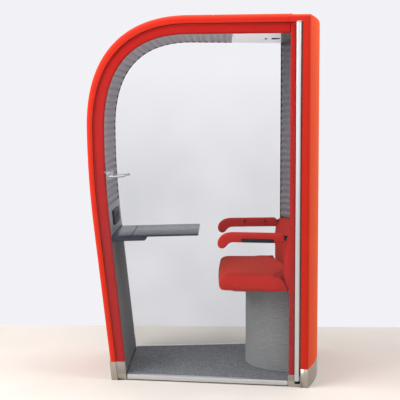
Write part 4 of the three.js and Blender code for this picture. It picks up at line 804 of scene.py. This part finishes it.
# seat: stuffed cushion with a sewn edge, stuffed backrest
seat = {"top": 0.655, "thickness": 0.100, "reach": 0.417, "sideGap": 0.028, "corner": 0.055, "backCorner": 0.016,
        "backrest": 0.080,
        "drawn": 0.006, "swell": 0.007, "voxel": 0.006, "pressure": 3.0, "pipe": 0.0026,
        "backFoot": 0.561, "backTop": 0.910, "ends": 0.45}


def corner(a, b, c, radius):
    a, b, c = Vector(a), Vector(b), Vector(c)
    p, q = b + (a - b).normalized() * radius, b + (c - b).normalized() * radius
    return [tuple(bezierAt([p, b, q], t)[0]) for t in steps(0, 1, 7)]


def cushionOutline():
    frontX = seatEdgeX - seat["reach"]
    frontHalf = halfDepth(frontX) - seat["sideGap"]
    backHalf = halfDepth(seatEdgeX) - innerZone - seat["backCorner"]
    back = [(bowX(innerApex - seat["backrest"] + 0.003, innerBow, y), y) for y in steps(-backHalf, backHalf, 20)]
    middleX = (frontX + back[0][0]) / 2
    middleHalf = halfDepth(middleX) - seat["sideGap"] - seat["drawn"]
    sideEnd = back[0][0] - seat["backCorner"] / 2
    sideHalf = halfDepth(sideEnd) - seat["sideGap"]
    nose = [(frontX - 0.006 * (1 - (y / frontHalf) ** 2), y) for y in steps(0, -frontHalf * 0.7, 4)]
    near = nose + corner(nose[-1], (frontX, -frontHalf), (middleX, -middleHalf), seat["corner"])
    near += [(middleX, -middleHalf)]
    near += corner((middleX, -middleHalf), (sideEnd, -sideHalf), back[0], seat["backCorner"])
    far = [(x, -y) for x, y in near[1:]]
    return near + back + far[::-1]


def drawnIn(points, inset):
    moved = []
    for i, (x, y) in enumerate(points):
        before, after = Vector(points[i - 1]), Vector(points[(i + 1) % len(points)])
        along = (after - before).normalized()
        moved.append((x - along.y * inset, y + along.x * inset))
    return moved


def buildSeat():
    outline = cushionOutline()
    foot, tall, start = seat["top"] - seat["thickness"], seat["thickness"], seat["swell"]
    levels = [(0, 0.014), (0.06, 0.006), (0.2, 0.001), (0.4, 0), (0.6, 0), (0.76, 0.003), (0.87, 0.012),
              (0.93, 0.026), (0.955, 0.05), (0.97, 0.1)]
    rings = []
    for up, inset in levels:
        z = foot + 0.002 + (tall - start) * up
        rings.append([(x, y, z) for x, y in drawnIn(outline, inset + start)])
    verts, faces = loft(rings)
    # its sides run on past the ends of the backrest and slope down to the wall
    inner, outer = innerZone + 0.003, seat["sideGap"] + start
    for side in (-1, 1):
        first = len(verts)
        for x, high in ((seatEdgeX - 0.10, 0.95), (seatEdgeX - 0.040, 0.92), (seatEdgeX - 0.006, 0.32)):
            for inset in (inner, outer):
                verts += [(x, side * (halfDepth(x) - inset), foot + 0.002 + tall * up) for up in (0.03, high)]
        for k in (first, first + 4):
            faces += [(k, k + 1, k + 5, k + 4), (k + 2, k + 6, k + 7, k + 3), (k, k + 4, k + 6, k + 2),
                      (k + 1, k + 3, k + 7, k + 5)]
        faces += [(first, first + 2, first + 3, first + 1), (first + 8, first + 9, first + 11, first + 10)]
    piece = newPiece("seatCushion", verts, faces, seatRed)
    stuffed(piece, seat["voxel"], seat["pressure"], 0.009, lambda co: co.z < foot + 0.006)
    dressed(piece, "pod", "seat_cushion", fill=0.75)
    # backrest, bowed with the wall and fuller in the middle
    height = seat["backTop"] - seat["backFoot"]
    swell = [(0, 0.76), (0.06, 0.84), (0.15, 0.92), (0.3, 0.98), (0.5, 1.0), (0.66, 0.99), (0.8, 0.94), (0.9, 0.82),
             (0.96, 0.62), (0.99, 0.4), (1, 0.2)]
    rings = []
    for across in steps(-1, 1, 22):
        crown = (1 - seat["ends"] * across ** 6) * (seat["backrest"] - start)
        face = [(-crown * share, seat["backFoot"] + height * up * 0.985) for up, share in swell]
        ring = []
        for depth, z in [(shell["lining"] - 0.002, seat["backFoot"])] + face + [
                (shell["lining"] - 0.002, seat["backFoot"] + height * 0.985)]:
            point = seatPoint(across, wallInset(across) + 0.004, "in", depth)
            ring.append((point.x, point.y, z))
        rings.append(ring)
    piece = newPiece("backrestPad", *loft(rings), seatRed)
    stuffed(piece, seat["voxel"], seat["pressure"], 0.007,
            lambda co: co.x > bowX(innerApex, innerBow, co.y) + 0.004)
    dressed(piece, "pod", "backrest", fill=0.8)
    print("seat upholstered")


buildSeat()

# armrests: padded arms with a drooping nose, a slot for the bar, a bare trim strip and two screws each
arms = {"top": 0.908, "thick": 0.058, "width": 0.056, "inset": 0.036, "reach": 0.367, "droop": 0.039, "pinX": 0.056,
        "end": 0.031, "lowCorner": 0.008, "highCorner": 0.018,
        "round": 0.014, "slot": 0.0054, "eye": 0.0177, "screws": (-0.190, -0.050), "screwRise": 0.010}
armU = alongGlass(seatEdgeX - arms["pinX"], arms["inset"])
armV = arms["inset"] + arms["width"] / 2
armZ = arms["top"] - arms["thick"] / 2


def armOutline():
    half, tip = arms["thick"] / 2, -arms["reach"]
    low, bend = -half - arms["droop"], tip + 0.093
    line = [(x, half) for x in steps(0, bend, 14)]
    for points in (((bend, half), (bend - 0.05, half), (tip + 0.01, half - 0.02), (tip + 0.001, -half + 0.004)),
                   ((tip + 0.001, -half + 0.004), (tip - 0.006, low + 0.012), (tip + 0.012, low), (tip + 0.029, low)),
                   ((tip + 0.029, low), (tip + 0.052, low), (bend - 0.035, -half), (bend, -half))):
        line += [tuple(bezierAt(points, t)[0]) for t in steps(0, 1, 12)[1:]]
    end, low, high = arms["end"], arms["lowCorner"], arms["highCorner"]
    line += [(x, -half) for x in steps(bend, end - low, 14)[1:]]
    line += [(end - low * (1 - math.cos(t)), low * (1 + math.sin(t)) - half) for t in steps(-math.pi / 2, 0, 6)[1:]]
    line += [(end - high * (1 - math.cos(t)), half - high * (1 - math.sin(t))) for t in steps(0, math.pi / 2, 8)]
    return line


def boxPiece(name, low, high, turn):
    (x0, y0, z0), (x1, y1, z1) = low, high
    verts = [turn @ Vector((x, y, z)) for x in (x0, x1) for y in (y0, y1) for z in (z0, z1)]
    faces = [(0, 1, 3, 2), (4, 6, 7, 5), (0, 4, 5, 1), (2, 3, 7, 6), (0, 2, 6, 4), (1, 5, 7, 3)]
    return newPiece(name, verts, faces, None)


def cutBy(piece, *cutters):
    for cutter in cutters:
        cut = piece.modifiers.new("cut", "BOOLEAN")
        cut.operation, cut.solver, cut.object = "DIFFERENCE", "EXACT", cutter
    applied(piece)
    cleaned(piece)
    for cutter in cutters:
        bpy.data.objects.remove(cutter)
    return piece


def turned(name, profile, material, place, count=32):
    rings = [[(r * math.cos(t), r * math.sin(t), z) for t in steps(0, 2 * math.pi, count)[:-1]] for r, z in profile]
    verts, faces = loft(rings)
    return newPiece(name, [place @ Vector(v) for v in verts], faces, material)


def buildArmrests():
    outline = armOutline()
    for name, side in (("front", frontFrame), ("rear", rearFrame)):
        place = side @ Matrix.Translation((armU, armV, armZ))
        r, half = arms["round"], arms["width"] / 2
        rings = []
        rim = [(r * (1 - math.cos(t)), r * (1 - math.sin(t))) for t in steps(0, math.pi / 2, 6)]
        layers = [(-half + inset, e) for inset, e in rim] + [(half - inset, e) for inset, e in reversed(rim)]
        for v, inset in layers:
            rings.append([place @ Vector((x, v, z)) for x, z in drawnIn(outline, inset)])
        piece = newPiece(f"{name}Armrest", *loft(rings), seatRed, crease=60)
        slot, eyeR = arms["slot"], arms["eye"]
        clear = 0.0158
        turnUp = place @ Matrix.Rotation(math.pi / 2, 4, "X")
        cutters = [boxPiece("slotCut", (-clear, -slot, -clear), (arms["thick"], slot, arms["thick"]), place),
                   turned("eyeCut", [(eyeR, -slot), (eyeR, slot)], None, turnUp)]
        cutBy(piece, *cutters)
        piece.data.polygons.foreach_set("use_smooth", [True] * len(piece.data.polygons))
        piece.data.set_sharp_from_angle(angle=math.radians(50))
        dressed(piece, f"{name}_armrest", f"{name}_armrest", fill=0.9)
        path = [(place @ Vector((x, half - 0.0005, arms["screwRise"])), side.to_3x3() @ Vector((0, 1, 0)), 1.0)
                for x in arms["screws"]]
        row = growRow(f"{name}ArmScrews", [path], screwUnit(), arms["screws"][1] - arms["screws"][0],
                      materials["black_plastic"])
        dressed(row, f"{name}_armrest", slot="black_plastic")
    print("armrests upholstered")


# button-head screw, its head towards local x
def screwUnit():
    profile = [(0.0001, 0), (0.0090, 0), (0.0090, 0.0012), (0.0074, 0.0026), (0.0046, 0.0033), (0.0040, 0.0033),
               (0.0038, 0.0012), (0.0001, 0.0012)]
    return turned("screw", profile, None, Matrix.Rotation(math.pi / 2, 4, "Y"), count=16)


buildArmrests()


# pedestal: ribbed cloth, one fine rib above another round its oval nose
pedestal = {"reach": 0.241, "length": 0.300, "half": 0.265, "foot": 0.0335, "top": 0.5390, "rib": 0.012, "bulge": 0.0040,
            "wall": 0.012, "wallGap": 0.002, "noseSteps": 32}


def pedestalPath():
    length, half = pedestal["length"], pedestal["half"]
    widest = seatEdgeX - pedestal["reach"] + length
    path = [(Vector((widest - length * math.cos(t), half * math.sin(t))),
             Vector((-math.cos(t) / length, math.sin(t) / half)).normalized())
            for t in steps(math.pi / 2, -math.pi / 2, pedestal["noseSteps"])]
    end = bowX(innerApex, innerBow, half) - pedestal["wallGap"]
    return [(Vector((end, half)), Vector((0, 1)))] + path + [(Vector((end, -half)), Vector((0, -1)))]


def buildPedestal():
    count = round((pedestal["top"] - pedestal["foot"]) / pedestal["rib"])
    pitch = (pedestal["top"] - pedestal["foot"]) / count
    half = pitch / 2 - 0.0001
    profile = [(pedestal["bulge"] * (abs(z) / half) ** 2, z) for z in steps(-half, half, 6)]
    profile += [(pedestal["wall"], half), (pedestal["wall"], -half)]
    rings = [[(p.x - n.x * depth, p.y - n.y * depth, z) for depth, z in profile] for p, n in pedestalPath()]
    unit = newPiece("pedestalRib", *loft(rings), None)
    path = [((0, 0, z), (1, 0, 0), 1.0) for z in steps(pedestal["foot"] + pitch / 2, pedestal["top"] - pitch / 2,
                                                       count - 1)]
    piece = growRow("pedestalRibs", [path], unit, pitch * 0.99999, materials["grey_weave"])
    dressed(piece, "pod", "seat_pedestal")


buildPedestal()

# carpet: cut pile, every tuft a little higher or lower
carpet = {"cell": 0.0075, "pile": 0.0011, "seed": 11}


def buildCarpet():
    solid = nodes["floor_carpet"].data
    flat = bmesh.new()
    flat.from_mesh(solid)
    bmesh.ops.remove_doubles(flat, verts=flat.verts, dist=2e-6)
    top = [face for face in flat.faces if face.normal.z > 0.9]
    rim = [edge for face in top for edge in face.edges
           if sum(other.normal.z > 0.9 for other in edge.link_faces) == 1]
    low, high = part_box("floor_carpet")
    middle = (Vector(low) + Vector(high)) / 2
    size = Vector(high) - Vector(low)
    cut = []
    for edge in rim:
        a, b = (v.co.copy() for v in edge.verts)
        out = Vector((b.y - a.y, a.x - b.x, 0)).normalized()
        cut.append((a, out if out.dot(a - middle) > 0 else -out))
    flat.free()
    work = bmesh.new()
    across, along = int(size.y / carpet["cell"]), int(size.x / carpet["cell"])
    grid = [[work.verts.new((low[0] + size.x * i / along, low[1] + size.y * j / across, high[2] - carpet["pile"]))
             for j in range(across + 1)] for i in range(along + 1)]
    for i in range(along):
        for j in range(across):
            work.faces.new((grid[i][j], grid[i + 1][j], grid[i + 1][j + 1], grid[i][j + 1]))
    draw = random.Random(carpet["seed"])
    for vertex in work.verts:
        vertex.co.z += carpet["pile"] * draw.uniform(-1, 1)
    for at, out in cut:
        bmesh.ops.bisect_plane(work, geom=work.verts[:] + work.edges[:] + work.faces[:], plane_co=at, plane_no=out,
                               clear_outer=True)
    bmesh.ops.remove_doubles(work, verts=work.verts, dist=0.0003)
    edge = [e for e in work.edges if e.is_boundary]
    skirt = bmesh.ops.extrude_edge_only(work, edges=edge)["geom"]
    for vertex in (v for v in skirt if isinstance(v, bmesh.types.BMVert)):
        vertex.co.z = low[2]
    bmesh.ops.holes_fill(work, edges=[e for e in work.edges if e.is_boundary])
    bmesh.ops.recalc_face_normals(work, faces=work.faces)
    mesh = bpy.data.meshes.new("floorCarpet")
    work.to_mesh(mesh)
    work.free()
    piece = placed("floorCarpet", mesh, materials["carpet"], crease=60)
    dressed(piece, "pod", "floor_carpet")
    print("carpet laid:", len(mesh.polygons), "faces")


buildCarpet()

# brush seal beside the pivot profile: tufts from the cover to the barrel
brush = {"pivot": (0.554, -0.433776), "barrel": 0.014, "from": 0.111, "to": 2.1475, "pitch": 0.0026, "length": 0.0030,
         "thick": 0.0019, "depth": 0.0075, "shake": 0.10}


def buildBrush():
    flat = [(0.0, 1.0), (0.6, 0.95), (1.0, 0.5)]
    rings = [[(brush["length"] * far, y * share * brush["depth"] / 2, z * share * brush["thick"] / 2)
              for y, z in ((-1, -1), (1, -1), (1, 1), (-1, 1))] for far, share in flat]
    unit = newPiece("tuft", *loft(rings), None)
    along = Vector((math.cos(planeAngle), -math.sin(planeAngle), 0))
    root = Vector((*brush["pivot"], 0)) + along * (brush["barrel"] + 0.0009 + brush["length"])
    path = [(root + Vector((0, 0, z)), -along, 1.0) for z in (brush["from"] + 0.003, brush["to"] - 0.003)]
    piece = growRow("doorBrush", [path], unit, brush["pitch"], materials["brush_pile"], jitter=brush["shake"])
    dressed(piece, "pod", "door_brush")


buildBrush()

# lever handles: oval bar that leaves the rose, bends and runs along the glass with a light wave
lever = {"at": (-0.565104, -0.323741, 1.243), "outer": -0.0070, "inner": 0.0413, "stand": 0.042, "reach": 0.104,
         "rise": 0.005, "neck": 0.0065, "bend": 0.016, "steps": 40}


def leverPath(face, side):
    tip, bend = face + side * lever["stand"], lever["bend"]
    points = [Vector((0, v, 0)) for v in steps(face, tip - side * bend, 6)]
    for t in steps(0, math.pi / 2, 10)[1:]:
        points.append(Vector((bend * (1 - math.cos(t)), tip - side * bend * (1 - math.sin(t)), 0)))
    for u in steps(bend, lever["reach"] - 0.006, lever["steps"])[1:]:
        share = (u - bend) / (lever["reach"] - bend)
        wave = lever["rise"] * (3 * share ** 2 - 2 * share ** 3) - 0.0016 * math.sin(math.pi * share)
        points.append(Vector((u, tip, wave)))
    end = points[-1]
    for t in steps(0, math.pi / 2, 6)[1:]:
        points.append(end + Vector((0.006 * math.sin(t), 0, 0)))
    return points


def buildLevers():
    frame_ = Matrix.Translation(lever["at"]) @ Matrix.Rotation(-planeAngle, 4, "Z")
    for name, face, side in (("outer", lever["outer"], -1), ("inner", lever["inner"], 1)):
        path = leverPath(face, side)
        rings = []
        for i, point in enumerate(path):
            along = (path[min(i + 1, len(path) - 1)] - path[max(i - 1, 0)]).normalized()
            flat = Vector((0, 0, 1)).cross(along).normalized()
            up = along.cross(flat).normalized()
            left = len(path) - 1 - i
            cap = math.cos(math.pi / 2 * (1 - left / 6)) if left < 6 else 1.0
            share = max(cap, 0.02)
            rings.append([frame_ @ (point + flat * (0.76 * lever["neck"] * share * math.cos(t))
                                    + up * (lever["neck"] * share * math.sin(t)))
                          for t in steps(0, 2 * math.pi, 20)[:-1]])
        piece = newPiece(f"{name}Lever", *loft(rings), materials["satin_steel"], crease=60)
        dressed(piece, "lever", f"{name}_lever")
    print("levers bent")


buildLevers()

# socket faces on the power strip: three plain recessed faces in a row
sockets = {"centre": 0.965, "height": 0.092, "depth": 0.0126, "pitch": 0.082, "radius": 0.0225}


def buildSockets():
    low = archPoint(archAtHeight(sockets["centre"] - sockets["height"] / 2), 0)
    high = archPoint(archAtHeight(sockets["centre"] + sockets["height"] / 2), 0)
    up = Vector((high.x - low.x, 0, high.y - low.y)).normalized()
    out = Vector((up.z, 0, -up.x))
    middle = Vector(((low.x + high.x) / 2, 0, (low.y + high.y) / 2)) + out * (sockets["depth"] - 0.0002)
    r = sockets["radius"]
    profile = [(0.0001, 0), (r, 0), (r, 0.0016), (r - 0.0012, 0.0022), (r - 0.0028, 0.0018), (r - 0.0034, 0.0006),
               (0.0001, 0.0006)]
    unit = turned("socket", profile, None, Matrix.Rotation(math.pi / 2, 4, "Y"), count=24)
    path = [(middle + Vector((0, y, 0)), out, 1.0) for y in (-sockets["pitch"], 0, sockets["pitch"])]
    piece = growRow("socketFaces", [path], unit, sockets["pitch"] * 0.99999, materials["black_plastic"])
    dressed(piece, "pod", slot="black_plastic")


buildSockets()


# vent blades: slim strips between the slots of the ceiling panel, a little proud of it
vents = {"middle": 0.443, "half": 0.027, "pitch": 0.015, "count": 6, "drop": 0.0024, "thick": 0.0016}


def buildVents():
    half, drop, thick_ = vents["half"], vents["drop"], vents["thick"] / 2
    side = [(-half, -0.001), (half, -0.001), (half - drop, drop), (drop - half, drop)]
    unit = newPiece("blade", *loft([[(x, y, z) for x, y in side] for z in (-thick_, thick_)]), None)
    z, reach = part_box("ceiling_panel")[0][2], vents["pitch"] * (vents["count"] - 1) / 2
    path = [((vents["middle"], y, z), (1, 0, 0), 1.0) for y in steps(-reach, reach, vents["count"] - 1)]
    piece = growRow("ventBlades", [path], unit, vents["pitch"] * 0.99999, materials["black_plastic"])
    dressed(piece, "pod", slot="black_plastic")


buildVents()

# the seam between white panel and felt runs a little askew
ceilingSeam = {"x": 0.476, "skew": 0.0676}


# rigid pieces: the same solid with its edges eased, so that they catch the light
def eased(node, name, width, count=2, angle=32):
    work = bmesh.new()
    work.from_mesh(nodes[node].data)
    bmesh.ops.remove_doubles(work, verts=work.verts, dist=2e-6)
    if node.startswith("ceiling"):
        for vertex in (v for v in work.verts if abs(v.co.x - ceilingSeam["x"]) < 0.003):
            vertex.co.x += ceilingSeam["skew"] * vertex.co.y
    bmesh.ops.dissolve_limit(work, angle_limit=math.radians(0.5), verts=work.verts, edges=work.edges)
    mesh = bpy.data.meshes.new(name)
    work.to_mesh(mesh)
    work.free()
    piece = placed(name, mesh, materials[slotOf[node]])
    ease = piece.modifiers.new("ease", "BEVEL")
    ease.width, ease.segments, ease.limit_method = width, count, "ANGLE"
    ease.angle_limit = math.radians(angle)
    ease.use_clamp_overlap = True
    applied(piece)
    cleaned(piece)
    piece.data.polygons.foreach_set("use_smooth", [True] * len(piece.data.polygons))
    piece.data.set_sharp_from_angle(angle=math.radians(35))
    return dressed(piece, bodyOf[node], node)


edges = {"desk_plinth": ("deskPlinth", 0.0015), "seat_plinth": ("seatPlinth", 0.0015),
         "front_threshold": ("frontThreshold", 0.0006), "rear_threshold": ("rearThreshold", 0.0006),
         "desk_fixed_top": ("deskFixedTop", 0.0012), "desk_support": ("deskSupport", 0.0015),
         "desk_leaf": ("deskLeaf", 0.0012), "power_module": ("powerModule", 0.003),
         "latch_case": ("latchCase", 0.002), "outer_rose": ("outerRose", 0.0015), "inner_rose": ("innerRose", 0.0015),
         "strike_plate": ("strikePlate", 0.0005), "desk_wall_panel": ("deskWallPanel", 0.002),
         "socket_panel": ("socketPanel", 0.001), "door_bottom_pivot": ("bottomPivot", 0.0012),
         "front_armrest_trim": ("frontArmTrim", 0.0007), "rear_armrest_trim": ("rearArmTrim", 0.0007),
         "door_seal": ("doorSeal", 0.0008), "rear_glass_seal": ("rearGlassSeal", 0.0008),
         "ceiling_panel": ("ceilingPanel", 0.0015), "ceiling_end_panel": ("ceilingEndPanel", 0.0015), "door_hinge_profile": ("hingeProfile", 0.0008)}
for node, (name, width) in edges.items():
    eased(node, name, width)
print("edges eased")

# what is left of the solids keeps its shape and gets its real finish
for node, thing in nodes.items():
    finish = materials[slotOf[node]]
    if thing.material_slots:
        for place in thing.material_slots:
            place.material = finish
    else:
        thing.data.materials.append(finish)
print("finishes given")
